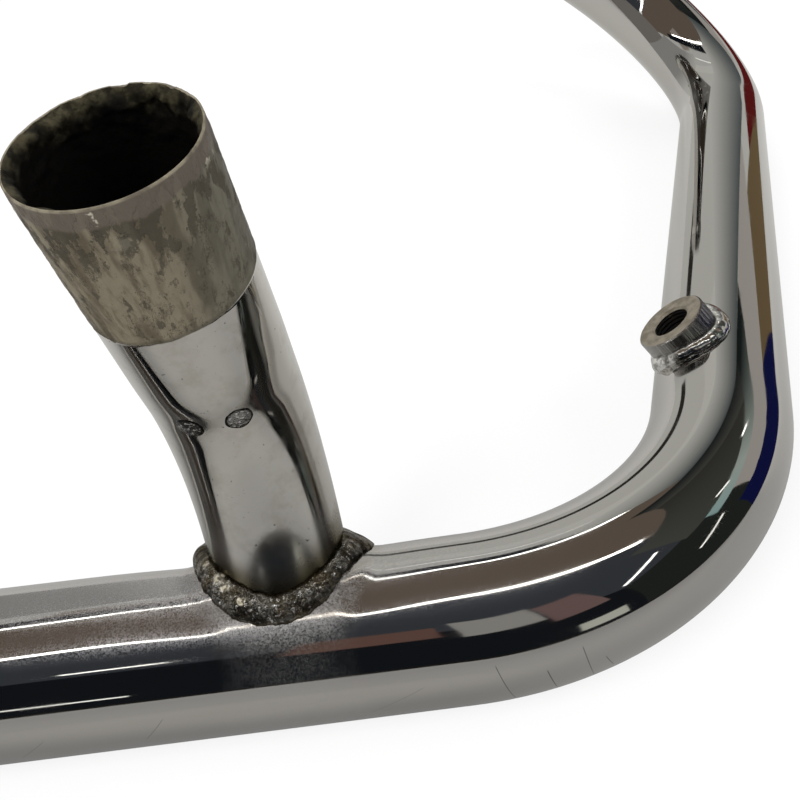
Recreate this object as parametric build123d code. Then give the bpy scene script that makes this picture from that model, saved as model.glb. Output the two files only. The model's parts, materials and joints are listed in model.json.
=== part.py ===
from build123d import *
import math
import os

# Header pipe: one bent tube from the outlet, along the run and up the leg, to the head
pipe_od = 38.1
pipe_wall = 1.5
bend_radius = 90.0  # centreline radius of both bends
run_length = 220.0
lower_turn = 67.5
leg_length = 221.4
upper_turn = 108.0
upper_lift = 31.4  # how far the upper bend rises out of the plane of the run and leg
spigot_length = 26.0

# Outlet: the end of the run, sized down to take a sleeve
outlet_od = 37.7
outlet_length = 50.0
outlet_taper = 3.0

# Crossover stub: a bent branch tube with a slightly expanded slip end
stub_od = 30.6
stub_wall = 1.2
stub_setback = 38.1  # from the start of the lower bend back to the branch
stub_rake = 5.7  # lean of the whole branch towards the outlet
stub_lean = 38.6  # lean of its foot from upright, away from its bend
stub_foot = 11.0  # straight foot, from the axis of the run
stub_bend_radius = 67.5
stub_turn = 50.6
slip_od = 31.0
slip_flare = 4.0
slip_length = 47.1

# Inner sleeve of the stub and the two plug welds that hold it
sleeve_wall = 1.0
sleeve_clearance = 0.1
sleeve_reach = 11.0  # each way from the end of the stub's bend
plug_diameter = 5.6
plug_spread = 18.2  # angle of each plug from the inside of the bend
plug_crown = 0.5
plug_edge = 0.4

# Sensor bung: a turned boss on the leg, tapped for a 12 mm sensor
bung_od = 21.0
bung_face = 25.5  # from the axis of the leg
bung_along = 19.0  # from the end of the lower bend
bung_roll = 42.7  # from upright, towards the inside of the pipe's curve
bung_tapping = 10.8
bung_mouth = 0.7
bung_edge = 0.4

# Weld beads at the foot of the stub and of the bung, laid as a row of puddles
saddle_leg = 4.8
saddle_puddles = 22
bung_leg = 2.6
bung_puddles = 20
puddle_swell = 0.09  # share by which a puddle's size wanders
puddle_dip = 0.12  # share by which the bead narrows between two puddles
bead_sides = 12  # flat sides round a bead's section

# Head end: a collar round the spigot, with a plain fillet weld behind it
collar_od = 46.0
collar_width = 8.0
collar_edge = 0.8
collar_clearance = 0.1
collar_setback = 4.0  # the spigot stands out past the collar
collar_weld_leg = 4.0

pipe_radius = pipe_od / 2
outlet_radius = outlet_od / 2
stub_radius = stub_od / 2
slip_radius = slip_od / 2
bung_radius = bung_od / 2
collar_radius = collar_od / 2


# A station is a plane across a tube: Z points along the tube and X towards the inside of its next bend.
def ahead(station, length):
    return station.offset(length)


def rolled(station, angle):
    turn = Axis((0, 0, 0), station.z_dir)
    return Plane(station.origin, x_dir=station.x_dir.rotate(turn, angle), z_dir=station.z_dir)


def turned(station, radius, angle):
    turn = Axis((0, 0, 0), station.y_dir)
    centre = station.origin + station.x_dir * radius
    return Plane(
        centre + (station.origin - centre).rotate(turn, angle),
        x_dir=station.x_dir.rotate(turn, angle),
        z_dir=station.z_dir.rotate(turn, angle),
    )


def rod(station, radius, length):
    return extrude(station * Circle(radius), length)


def elbow(station, radius, bend, angle):
    hinge = Axis(station.origin + station.x_dir * bend, station.y_dir)
    return revolve(station * Circle(radius), hinge, angle)


def turned_bar(station, points):
    """A solid of revolution round a station's Z, from points of radius and distance along Z."""
    section = Plane(station.origin, x_dir=station.x_dir, z_dir=-station.y_dir)
    return revolve(section * make_face(Polyline(*points, close=True)), Axis(station.origin, station.z_dir))


# Stations along the header pipe
outlet_mouth = Plane((0, 0, 0), x_dir=(0, 1, 0), z_dir=(1, 0, 0))
lower_start = ahead(outlet_mouth, run_length)
leg_start = turned(lower_start, bend_radius, lower_turn)
upper_start = rolled(ahead(leg_start, leg_length), upper_lift)
spigot_start = turned(upper_start, bend_radius, upper_turn)

# Stations along the crossover stub
rake = math.radians(stub_rake)
lean = math.radians(stub_lean)
stub_upright = Vector(-math.sin(rake), 0, math.cos(rake))
stub_away = Vector(0, 1, 0)
stub_root = Plane(
    ahead(lower_start, -stub_setback).origin,
    x_dir=stub_upright * math.sin(lean) - stub_away * math.cos(lean),
    z_dir=stub_upright * math.cos(lean) + stub_away * math.sin(lean),
)
stub_bend_start = ahead(stub_root, stub_foot)
slip_start = turned(stub_bend_start, stub_bend_radius, stub_turn)

# Station of the bung, with Z out of its mouth
bung_root_on_leg = rolled(ahead(leg_start, bung_along), 90 - bung_roll)
bung_root = Plane(bung_root_on_leg.origin, x_dir=leg_start.z_dir, z_dir=bung_root_on_leg.x_dir)


def pipe_rod(inset):
    """The header pipe as a solid bar, inset all round by a wall thickness."""
    radius = pipe_radius - inset
    end_radius = outlet_radius - inset
    run_points = [
        (0, 0),
        (end_radius, 0),
        (end_radius, outlet_length),
        (radius, outlet_length + outlet_taper),
        (radius, run_length),
        (0, run_length),
    ]
    return (
        turned_bar(outlet_mouth, run_points)
        + elbow(lower_start, radius, bend_radius, lower_turn)
        + rod(leg_start, radius, leg_length)
        + elbow(upper_start, radius, bend_radius, upper_turn)
        + rod(spigot_start, radius, spigot_length)
    )


def stub_rod(inset):
    """The crossover stub as a solid bar from the axis of the run, inset all round by a wall thickness."""
    radius = stub_radius - inset
    end_radius = slip_radius - inset
    slip_points = [
        (0, 0),
        (radius, 0),
        (end_radius, slip_flare),
        (end_radius, slip_flare + slip_length),
        (0, slip_flare + slip_length),
    ]
    return (
        rod(stub_root, radius, stub_foot)
        + elbow(stub_bend_start, radius, stub_bend_radius, stub_turn)
        + turned_bar(slip_start, slip_points)
    )


def sleeve_rod(radius):
    """The inner sleeve as a solid bar: it follows the stub's bend and runs on into the straight."""
    bend_share = math.degrees(sleeve_reach / stub_bend_radius)
    start = turned(stub_bend_start, stub_bend_radius, stub_turn - bend_share)
    return elbow(start, radius, stub_bend_radius, bend_share) + rod(slip_start, radius, sleeve_reach)


def seam_point(branch, branch_radius, along, angle):
    """The point at one angle round a branch tube where its side meets the header pipe."""
    out = branch.x_dir * math.cos(angle) + branch.y_dir * math.sin(angle)
    side = out * branch_radius
    side_across = side - along * side.dot(along)
    rise_across = branch.z_dir - along * branch.z_dir.dot(along)
    a = rise_across.dot(rise_across)
    b = side_across.dot(rise_across)
    c = side_across.dot(side_across) - pipe_radius**2
    rise = (-b + math.sqrt(b * b - a * c)) / a
    return branch.origin + side + branch.z_dir * rise


def bead_section(branch, branch_radius, along, angle, size):
    """The corners of a bead's section, round the seam's point at one angle."""
    out = branch.x_dir * math.cos(angle) + branch.y_dir * math.sin(angle)
    centre = seam_point(branch, branch_radius, along, angle)
    turns = [2 * math.pi * corner / bead_sides for corner in range(bead_sides)]
    return [centre + (out * math.cos(turn) + branch.z_dir * math.sin(turn)) * size for turn in turns]


def bead(branch, branch_radius, along, leg, puddles):
    """A faceted ring of weld puddles along the seam of a branch, before the tubes are cut from it."""
    sections = []
    for number in range(2 * puddles):
        angle = math.pi * number / puddles
        wander = math.sin(1.15 * number) + 0.5 * math.sin(2.35 * number)
        dip = puddle_dip * (number % 2)
        sections.append(bead_section(branch, branch_radius, along, angle, leg * (1 + puddle_swell * wander - dip)))
    facets = []
    for here, there in zip(sections, sections[1:] + sections[:1]):
        for corner in range(bead_sides):
            beside = (corner + 1) % bead_sides
            facets.append(Face(Wire.make_polygon([here[corner], here[beside], there[beside]])))
            facets.append(Face(Wire.make_polygon([here[corner], there[beside], there[corner]])))
    return Solid(Shell(facets))


pipe_bar = pipe_rod(0)
stub_bar = stub_rod(0)
sleeve_radius = stub_radius - stub_wall - sleeve_clearance
sleeve_bar = sleeve_rod(sleeve_radius)

# Bung, turned about its own axis, with its foot cut to the pipe
bung_bore = rod(bung_root, bung_tapping / 2, bung_face)
bung_points = [
    (0, 0),
    (bung_radius, 0),
    (bung_radius, bung_face - bung_edge),
    (bung_radius - bung_edge, bung_face),
    (bung_tapping / 2 + bung_mouth, bung_face),
    (bung_tapping / 2, bung_face - bung_mouth),
    (0, bung_face - bung_mouth),
]
bung_bar = turned_bar(bung_root, bung_points)
sensor_bung = bung_bar - bung_bore - pipe_bar

# Plug welds: each fills a hole through the stub's wall and stands on the inner sleeve
plug_holes = []
plug_solids = []
for side in (-1, 1):
    facing = rolled(slip_start, side * plug_spread)
    plug_station = Plane(slip_start.origin, x_dir=slip_start.z_dir, z_dir=facing.x_dir)
    plug_top = stub_radius + plug_crown
    plug_points = [
        (0, 0),
        (plug_diameter / 2, 0),
        (plug_diameter / 2, plug_top - plug_edge),
        (plug_diameter / 2 - plug_edge, plug_top),
        (0, plug_top),
    ]
    plug_solids.append(turned_bar(plug_station, plug_points) - sleeve_bar)
    plug_holes.append(rod(plug_station, plug_diameter / 2, slip_radius + stub_wall))

# Tubes
header_pipe = pipe_bar - pipe_rod(pipe_wall) - stub_rod(stub_wall) - bung_bore
crossover_stub = stub_bar - stub_rod(stub_wall) - pipe_bar - plug_holes
stub_sleeve = sleeve_bar - sleeve_rod(sleeve_radius - sleeve_wall)

# Beads, cut back to the tubes that they join
saddle_weld = bead(stub_root, stub_radius, lower_start.z_dir, saddle_leg, saddle_puddles) - pipe_bar - stub_bar
bung_weld = bead(bung_root, bung_radius, leg_start.z_dir, bung_leg, bung_puddles) - pipe_bar - bung_bar

# Head end
collar_front = spigot_length - collar_setback
collar_back = collar_front - collar_width
collar_bore = pipe_radius + collar_clearance
collar_points = [
    (collar_bore, collar_back),
    (collar_radius - collar_edge, collar_back),
    (collar_radius, collar_back + collar_edge),
    (collar_radius, collar_front - collar_edge),
    (collar_radius - collar_edge, collar_front),
    (collar_bore, collar_front),
]
port_collar = turned_bar(spigot_start, collar_points)
port_weld_points = [
    (pipe_radius, collar_back - collar_weld_leg),
    (pipe_radius + collar_weld_leg, collar_back),
    (pipe_radius, collar_back),
]
port_weld = turned_bar(spigot_start, port_weld_points)

nodes = {
    "header_pipe": header_pipe,
    "crossover_stub": crossover_stub,
    "stub_sleeve": stub_sleeve,
    "plug_welds": Compound(children=plug_solids),
    "saddle_weld": saddle_weld,
    "sensor_bung": sensor_bung,
    "bung_weld": bung_weld,
    "port_collar": port_collar,
    "port_weld": port_weld,
}
os.makedirs("parts", exist_ok=True)
for name, shape in nodes.items():
    export_step(shape, f"parts/{name}.step")
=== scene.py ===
# %% [markdown]
# This scene dresses a motorcycle exhaust header: one bent chrome tube with a short branch for the
# crossover, a boss for a sensor and a collar at the head end. The solids come packed from CAD, and
# everything made here sits in their frame, in metres.

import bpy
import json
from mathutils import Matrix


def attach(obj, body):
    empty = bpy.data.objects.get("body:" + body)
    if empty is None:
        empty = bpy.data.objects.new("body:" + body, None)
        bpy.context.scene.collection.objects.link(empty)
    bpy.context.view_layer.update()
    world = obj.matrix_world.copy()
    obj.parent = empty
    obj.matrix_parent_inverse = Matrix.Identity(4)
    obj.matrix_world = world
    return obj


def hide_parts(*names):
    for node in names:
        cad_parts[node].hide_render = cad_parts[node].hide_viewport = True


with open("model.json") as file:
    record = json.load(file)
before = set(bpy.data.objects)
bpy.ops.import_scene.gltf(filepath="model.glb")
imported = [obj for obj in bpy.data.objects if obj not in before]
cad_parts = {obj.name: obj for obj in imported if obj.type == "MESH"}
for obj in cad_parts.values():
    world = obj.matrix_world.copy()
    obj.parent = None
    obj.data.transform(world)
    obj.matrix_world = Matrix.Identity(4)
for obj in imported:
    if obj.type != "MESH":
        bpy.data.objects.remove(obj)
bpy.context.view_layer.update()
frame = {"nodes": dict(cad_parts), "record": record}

import json
import math

import bpy
import numpy as np
from mathutils import Matrix, Vector, noise

MM = 0.001

# %% [markdown]
# The tubes are bent on a mandrel bender: straight lengths with arcs of one radius between them. The
# same few sizes draw them here, so the skins lie exactly where the solids are. They are given in
# millimetres and turned into metres once.

# %% Sizes of the tubes
PIPE_RADIUS = 19.05 * MM
PIPE_WALL = 1.5 * MM
BEND_RADIUS = 90 * MM
RUN = 220 * MM
LOWER_TURN = 67.5
LEG = 221.4 * MM
UPPER_TURN = 108
UPPER_LIFT = 31.4
SPIGOT = 26 * MM
OUTLET_RADIUS = 18.85 * MM
OUTLET_LENGTH = 50 * MM
OUTLET_TAPER = 3 * MM

STUB_RADIUS = 15.3 * MM
STUB_WALL = 1.2 * MM
STUB_SETBACK = 38.1 * MM
STUB_RAKE = math.radians(5.7)
STUB_LEAN = math.radians(38.6)
STUB_FOOT = 11 * MM
STUB_BEND_RADIUS = 67.5 * MM
STUB_TURN = 50.6
SLIP_RADIUS = 15.5 * MM
SLIP_FLARE = 4 * MM
SLIP_LENGTH = 47.1 * MM

pipe_length = RUN + LEG + SPIGOT + BEND_RADIUS * math.radians(LOWER_TURN + UPPER_TURN)
print("straight tube that the pipe takes, mm:", round(pipe_length / MM, 1))


# %% [markdown]
# A tube needs stations: an origin, the way ahead and the side that the next bend turns to. Walking
# from station to station with three moves (ahead, roll, turn) is how a tube bender's own setting
# sheet works, so it is also the clearest way to write the route down.

# %% Stations along a tube
def spin(vector, axis, degrees):
    """A vector turned about an axis."""
    angle = math.radians(degrees)
    across = np.cross(axis, vector)
    along = axis * np.dot(axis, vector)
    return vector * math.cos(angle) + across * math.sin(angle) + along * (1 - math.cos(angle))


def go_ahead(station, length):
    """The station a length further on."""
    origin, ahead, inner = station
    return origin + ahead * length, ahead, inner


def roll(station, degrees):
    """The same station, with the side of its next bend rolled round."""
    origin, ahead, inner = station
    return origin, ahead, spin(inner, ahead, degrees)


def turn(station, radius, degrees):
    """The station at the end of a bend."""
    origin, ahead, inner = station
    hinge = np.cross(ahead, inner)
    centre = origin + inner * radius
    moved = centre + spin(origin - centre, hinge, degrees)
    return moved, spin(ahead, hinge, degrees), spin(inner, hinge, degrees)


outlet_mouth = (np.zeros(3), np.array([1.0, 0, 0]), np.array([0, 1.0, 0]))
lower_start = go_ahead(outlet_mouth, RUN)
leg_start = turn(lower_start, BEND_RADIUS, LOWER_TURN)
upper_start = roll(go_ahead(leg_start, LEG), UPPER_LIFT)
spigot_start = turn(upper_start, BEND_RADIUS, UPPER_TURN)

stub_upright = np.array([-math.sin(STUB_RAKE), 0, math.cos(STUB_RAKE)])
stub_root = (
    go_ahead(lower_start, -STUB_SETBACK)[0],
    stub_upright * math.cos(STUB_LEAN) + np.array([0, math.sin(STUB_LEAN), 0]),
    stub_upright * math.sin(STUB_LEAN) - np.array([0, math.cos(STUB_LEAN), 0]),
)
stub_bend_start = go_ahead(stub_root, STUB_FOOT)
slip_start = turn(stub_bend_start, STUB_BEND_RADIUS, STUB_TURN)
slip_rim = go_ahead(slip_start, SLIP_FLARE + SLIP_LENGTH)
packed_rim = np.array(frame["record"]["mounts"][1]["pos_m"])
print("slip rim in mm:", (slip_rim[0] / MM).round(2), "packed mount:", (packed_rim / MM).round(2))


# %% [markdown]
# Chrome shows every facet, because it mirrors the room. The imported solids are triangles, fine for
# physics but not for a mirror, so each plated tube gets a fine skin of rings. Rings a few
# millimetres apart on the straights and a degree and a half apart in the bends, with smooth
# shading, give clean reflections.

# %% Rings along a tube
def full_turn(count):
    """Even angles round a ring."""
    return np.linspace(0, 2 * math.pi, count, endpoint=False)


def tube_route(start, legs):
    """Stations along a tube, with a zero mark for each ring that doesn't twist, and the length so far."""
    origin, ahead, inner = start
    mark, along = inner, 0.0
    rows = [(origin, ahead, mark, along)]
    for kind, *sizes in legs:
        if kind == "roll":
            inner = spin(inner, ahead, sizes[0])
            continue
        size, step = sizes[-2:]
        hinge = np.cross(ahead, inner)
        count = max(1, math.ceil(size / step))
        for share in np.linspace(0, 1, count + 1)[1:]:
            if kind == "straight":
                rows.append((origin + ahead * size * share, ahead, mark, along + size * share))
            else:
                radius, degrees = sizes[0], size * share
                place, way, _ = turn((origin, ahead, inner), radius, degrees)
                length = along + radius * math.radians(degrees)
                rows.append((place, way, spin(mark, hinge, degrees), length))
        if kind == "bend":
            inner = spin(inner, hinge, size)
        origin, ahead, mark, along = rows[-1]
    return rows


def ring_grid(rows, radius_at, around):
    """Points of a tube's skin, by ring and by angle. radius_at(along, angle) gives the radius."""
    angle = full_turn(around)
    grid = []
    for origin, ahead, mark, along in rows:
        side = np.cross(ahead, mark)
        radial = np.outer(np.cos(angle), mark) + np.outer(np.sin(angle), side)
        grid.append(origin + radial * np.reshape(radius_at(along, angle), (-1, 1)))
    return np.array(grid)


def by_ring(values, around):
    """One value for each ring, the same all round it."""
    return np.repeat(np.asarray(values)[:, None], around, 1)


def by_angle(values, rings):
    """One value for each angle, the same on every ring."""
    return np.repeat(np.asarray(values)[None, :], rings, 0)


# %% [markdown]
# Rings become a skin when quads join each ring to the next. A tube needs an outer skin, an inner one
# that faces the other way, and a flat rim at each end, which makes it watertight. Blender takes all
# of it as plain lists of points and faces, so one function can make every piece.

# %% Skins from rings
def quads_between(rows, around, flip=False, start=0):
    """Quads that join rings of one grid, wound to face outwards or, flipped, inwards."""
    ring, spot = np.meshgrid(np.arange(rows - 1), np.arange(around), indexing="ij")
    here, beside = ring * around + spot, ring * around + (spot + 1) % around
    quads = np.stack([here, beside, beside + around, here + around], -1).reshape(-1, 4) + start
    return quads[:, ::-1] if flip else quads


def tube_quads(rows, around):
    """Quads of a tube with an outer grid first, an inner grid second and a flat rim at each end."""
    inner = rows * around
    spot = np.arange(around)
    beside = (spot + 1) % around
    first_rim = np.stack([spot, spot + inner, beside + inner, beside], -1)
    last = (rows - 1) * around
    last_rim = np.stack([spot + last, beside + last, beside + last + inner, spot + last + inner], -1)
    outside = quads_between(rows, around)
    inside = quads_between(rows, around, True, inner)
    rims = len(first_rim) + len(last_rim)
    finish = np.r_[np.zeros(len(outside)), np.ones(len(inside)), np.zeros(rims)]
    return np.vstack([outside, inside, first_rim, last_rim]), finish


def closed_quads(rows, around):
    """Quads of a ring whose section is closed too."""
    row, spot = np.meshgrid(np.arange(rows), np.arange(around), indexing="ij")
    beside, after = (spot + 1) % around, (row + 1) % rows
    corners = ((row, spot), (row, beside), (after, beside), (after, spot))
    return np.stack([ring * around + place for ring, place in corners], -1).reshape(-1, 4)


def new_object(name, data):
    """An object at the origin, in the scene."""
    made = bpy.data.objects.new(name, data)
    bpy.context.scene.collection.objects.link(made)
    return made


def piece_from(name, points, quads, finishes, finish_of_quad=None, marks=None, sharp=None):
    """A smooth-shaded mesh object at the origin, with its finishes and its per-point marks."""
    mesh = bpy.data.meshes.new(name)
    mesh.from_pydata(points.reshape(-1, 3).tolist(), [], quads.tolist())
    for finish in finishes:
        mesh.materials.append(finish)
    if finish_of_quad is not None:
        mesh.polygons.foreach_set("material_index", np.asarray(finish_of_quad, np.int32))
    for mark, values in (marks or {}).items():
        layer = mesh.attributes.new(mark, "FLOAT", "POINT")
        layer.data.foreach_set("value", np.ravel(values).astype(np.float32))
    mesh.polygons.foreach_set("use_smooth", np.ones(len(quads), bool))
    if sharp:
        mesh.set_sharp_from_angle(angle=math.radians(sharp))
    mesh.update()
    print(f"{name}: {len(mesh.vertices)} points, {len(mesh.polygons)} faces")
    return new_object(name, mesh)


def plain_mesh(piece):
    """A piece's mesh with its modifiers worked in."""
    bpy.context.view_layer.update()
    return bpy.data.meshes.new_from_object(piece.evaluated_get(bpy.context.evaluated_depsgraph_get()))


# %% [markdown]
# Finishes are made of nodes. A few short helpers keep each finish readable: one adds a node and
# fills its sockets, and the others are sums and patterns that turn up again and again.

# %% Helpers for nodes
def fill(tree, socket, value):
    """Gives a socket a value, or links it to another node's output."""
    if isinstance(value, bpy.types.NodeSocket):
        tree.links.new(value, socket)
    else:
        socket.default_value = value


def add(tree, kind, sockets=None, **settings):
    """Adds a node, sets its settings, and fills its sockets."""
    node = tree.nodes.new(kind)
    for setting, value in settings.items():
        setattr(node, setting, value)
    for socket, value in (sockets or {}).items():
        fill(tree, node.inputs[socket], value)
    return node


def sums(tree, operation, first, second=0.0, third=0.0):
    """What one Math node gives."""
    return add(tree, "ShaderNodeMath", {0: first, 1: second, 2: third}, operation=operation).outputs[0]


def plus(tree, first, second):
    return sums(tree, "ADD", first, second)


def minus(tree, first, second):
    return sums(tree, "SUBTRACT", first, second)


def times(tree, first, second):
    return sums(tree, "MULTIPLY", first, second)


def times_plus(tree, value, factor, extra):
    return sums(tree, "MULTIPLY_ADD", value, factor, extra)


def centred(tree, pattern, size):
    """A pattern of 0 to 1 made to swing evenly about zero, by a size from end to end."""
    return times_plus(tree, pattern, size, -size / 2)


def step_up(tree, value, low, high, bottom=0.0, top=1.0):
    """A smooth step from bottom to top as the value goes from low to high."""
    sockets = {"Value": value, "From Min": low, "From Max": high, "To Min": bottom, "To Max": top}
    return add(tree, "ShaderNodeMapRange", sockets, interpolation_type="SMOOTHSTEP").outputs[0]


def faded(tree, share, *steps):
    """A share times some smooth steps, each given as a step_up is."""
    for step in steps:
        share = times(tree, share, step_up(tree, *step))
    return share


def vectors(tree, operation, first, second=(0, 0, 0)):
    """A sum of vectors. A length, a distance or a dot product comes out as one value."""
    node = add(tree, "ShaderNodeVectorMath", {0: first, 1: second}, operation=operation)
    single = operation in ("LENGTH", "DISTANCE", "DOT_PRODUCT")
    return node.outputs["Value" if single else "Vector"]


def parts_of(tree, where):
    """The three coordinates of a place."""
    return add(tree, "ShaderNodeSeparateXYZ", {0: where}).outputs


# %% [markdown]
# The next helpers are about looks. Noise gives clouds and grain, a stretched place draws them out
# into streaks, and marks kept on the points of a mesh tell a finish where it is on its piece. All
# patterns read Object coordinates, which stay with the metal.

# %% Helpers for finishes
def clouds(tree, where, scale, detail=2.0, roughness=0.5):
    """Soft random noise of about 0 to 1."""
    sockets = {"Vector": where, "Scale": scale, "Detail": detail, "Roughness": roughness}
    return add(tree, "ShaderNodeTexNoise", sockets).outputs[0]


def stretched(tree, where, scale, degrees=(0, 0, 0)):
    """A place turned and then scaled along each axis, for patterns drawn out along a line."""
    angles = [math.radians(angle) for angle in degrees]
    turned = add(tree, "ShaderNodeMapping", {"Vector": where, "Rotation": angles}).outputs[0]
    return vectors(tree, "MULTIPLY", turned, scale)


def reach_from_line(tree, where, station):
    """How far a place is from the axis of a station."""
    away = vectors(tree, "SUBTRACT", where, station[0])
    return vectors(tree, "LENGTH", vectors(tree, "CROSS_PRODUCT", away, station[1]))


def object_place(tree):
    return add(tree, "ShaderNodeTexCoord").outputs["Object"]


def named_mark(tree, name):
    return add(tree, "ShaderNodeAttribute", attribute_name=name).outputs["Fac"]


def blend(tree, share, first, second):
    """A colour between two colours."""
    node = add(tree, "ShaderNodeMix", {0: share}, data_type="RGBA")
    fill(tree, node.inputs[6], first)
    fill(tree, node.inputs[7], second)
    return node.outputs[2]


def bumps(tree, height, strength, distance):
    sockets = {"Strength": strength, "Distance": distance, "Height": height}
    return add(tree, "ShaderNodeBump", sockets).outputs[0]


def shaded(tree, colour, rough, bump, metallic=0.0, specular=0.5):
    """A Principled shader from the parts that the finishes here set."""
    sockets = {"Base Color": colour, "Metallic": metallic, "Roughness": rough, "Normal": bump}
    sockets["Specular IOR Level"] = specular
    return add(tree, "ShaderNodeBsdfPrincipled", sockets).outputs[0]


def layered(tree, share, under, over):
    return add(tree, "ShaderNodeMixShader", {0: share, 1: under, 2: over}).outputs[0]


def new_finish(name):
    """A material with an empty tree of nodes."""
    finish = bpy.data.materials.new(name)
    finish.use_nodes = True
    finish.node_tree.nodes.clear()
    return finish, finish.node_tree


def finished(finish, shader):
    """The material, with its shader joined to its output."""
    add(finish.node_tree, "ShaderNodeOutputMaterial", {"Surface": shader})
    return finish


# %% [markdown]
# Chrome plate is a mirror with a history: a hand's smears make it a little dull in places, a cloth
# leaves hairlines, and heat near a weld leaves a brown tint and a speckled haze. Reflectivity is
# that of chromium, a bit over one half, and all of the rest is small changes of roughness and bump.

# %% Plate with its smears, haze and scratches
CHROME = (0.565, 0.55, 0.525, 1)
HEAT_TINT = (0.2, 0.14, 0.08, 1)
HAZE_GREY = (0.3, 0.28, 0.24, 1)
SCRATCH_DARK = (0.06, 0.06, 0.065, 1)

# Each scratch has its place along the run, its lean, its lower and upper end in mm, and its strength
HAIRLINES = (
    (226.8, 0.346, -6.0, 6.5, 0.8),
    (236.5, 0.329, -5.5, 2.5, 1.0),
    (245.4, 0.296, -6.0, 6.0, 0.8),
    (249.7, 0.486, -3.2, 0.8, 0.9),
    (202.0, -1.75, -2.0, 3.5, 0.5),
    (151.4, -0.784, -1.4, 3.7, 0.5),
    (127.3, -1.13, -3.1, 1.5, 0.45),
)


def hairline(tree, where, place, lean, low, high, strength):
    """One fine scratch on the front of the run."""
    x, y, z = parts_of(tree, where)
    aside = sums(tree, "ABSOLUTE", minus(tree, times_plus(tree, z, lean, x), place * MM))
    drawn = step_up(tree, aside, 0.06 * MM, 0.16 * MM, strength, 0.0)
    lower_end = (z, (low - 1) * MM, low * MM)
    upper_end = (z, (high + 1) * MM, high * MM)
    front = (y, -7 * MM, -8 * MM)
    return faded(tree, drawn, lower_end, upper_end, front)


def chrome_parts(tree, where, haze_share=1.0, plated=CHROME):
    """Colour, roughness and bump of the plate. The haze lies on the pipe round the stub's weld."""
    smear = clouds(tree, stretched(tree, where, (35, 60, 60)), 1.0, 3.0, 0.6)
    speck = clouds(tree, where, 1500, 3.0, 0.7)
    ragged = centred(tree, clouds(tree, where, 90, 3.0, 0.6), 16 * MM)
    reach = plus(tree, reach_from_line(tree, where, stub_root), ragged)
    risen = vectors(tree, "DOT_PRODUCT", vectors(tree, "SUBTRACT", where, stub_root[0]), stub_root[1])
    this_side = step_up(tree, risen, 0, 6 * MM, 0.0, haze_share)
    near_weld = faded(tree, this_side, (reach, 18 * MM, 46 * MM, 1.0, 0.0))
    haze = faded(tree, near_weld, (speck, 0.42, 0.6))
    tint = faded(tree, this_side, (reach, 16 * MM, 25 * MM, 0.6, 0.0))
    colour = blend(tree, tint, plated, HEAT_TINT)
    colour = blend(tree, times(tree, haze, 0.18), colour, HAZE_GREY)
    rough = step_up(tree, smear, 0.4, 0.7, 0.03, 0.09)
    rough = plus(tree, rough, times(tree, haze, 0.05))
    rough = plus(tree, rough, times(tree, near_weld, 0.03))
    scratch = 0.0
    for line in HAIRLINES:
        scratch = sums(tree, "MAXIMUM", scratch, hairline(tree, where, *line))
    colour = blend(tree, times(tree, scratch, 0.75), colour, SCRATCH_DARK)
    height = times_plus(tree, clouds(tree, where, 55, 2.0, 0.5), 0.9, times(tree, haze, 0.03))
    return colour, rough, bumps(tree, height, 0.35, 0.06 * MM)


def plate(tree, colour, rough, bump):
    return shaded(tree, colour, rough, bump, metallic=1.0)


# %% [markdown]
# On the pipe two more layers lie over the plate, both near the branch. Fine dust scatters light but
# still shines, so it is a rough glossy layer; pale scale from the weld's heat is dull, so it is a
# diffuse one. Fine grain breaks both up, which keeps them from looking like paint.

# %% Chrome of the pipe, and soot
DUST_GREY = (0.66, 0.64, 0.66, 1)
SCALE_GREY = (0.26, 0.255, 0.245, 1)
SOOT_BLACK = (0.004, 0.0035, 0.003, 1)
CRUMB_BROWN = (0.035, 0.028, 0.016, 1)


def dust_film(tree, where):
    """How thick the dust lies: on the top of the run, and thinner on the bend's side of the stub."""
    x, _, z = parts_of(tree, where)
    ragged = clouds(tree, where, 60, 4.0, 0.65)
    reach = times_plus(tree, ragged, 44 * MM, reach_from_line(tree, where, stub_root))
    film = step_up(tree, reach, 46 * MM, 104 * MM, 0.75, 0.0)
    grain = (clouds(tree, where, 2600, 3.0, 0.7), 0.36, 0.6, 0.1, 1.0)
    on_top = (z, 15.2 * MM, 17 * MM)
    past_stub = (x, 176 * MM, 200 * MM, 1.0, 0.25)
    return faded(tree, film, grain, on_top, past_stub)


def weld_scale(tree, where):
    """How thick the scale lies: round the toe of the bead, on top of the run and in front."""
    _, y, z = parts_of(tree, where)
    ragged = clouds(tree, where, 240, 3.0, 0.6)
    reach = times_plus(tree, ragged, 6 * MM, reach_from_line(tree, where, stub_root))
    halo = step_up(tree, reach, 20.5 * MM, 27 * MM, 0.62, 0.0)
    grain = (clouds(tree, where, 2100, 3.0, 0.7), 0.38, 0.6, 0.15, 1.0)
    on_top = (z, 13.5 * MM, 17 * MM, 0.15, 1.0)
    in_front = (y, -2 * MM, 6 * MM, 1.0, 0.0)
    return faded(tree, halo, grain, on_top, in_front)


def make_chrome():
    """The pipe's plate, with fine dust on its top and pale scale round the bead."""
    finish, tree = new_finish("chrome_plate_finish")
    where = object_place(tree)
    shader = plate(tree, *chrome_parts(tree, where))
    dust = add(tree, "ShaderNodeBsdfAnisotropic", {"Color": DUST_GREY, "Roughness": 0.3}).outputs[0]
    shader = layered(tree, dust_film(tree, where), shader, dust)
    scale = add(tree, "ShaderNodeBsdfDiffuse", {"Color": SCALE_GREY}).outputs[0]
    return finished(finish, layered(tree, weld_scale(tree, where), shader, scale))


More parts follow.
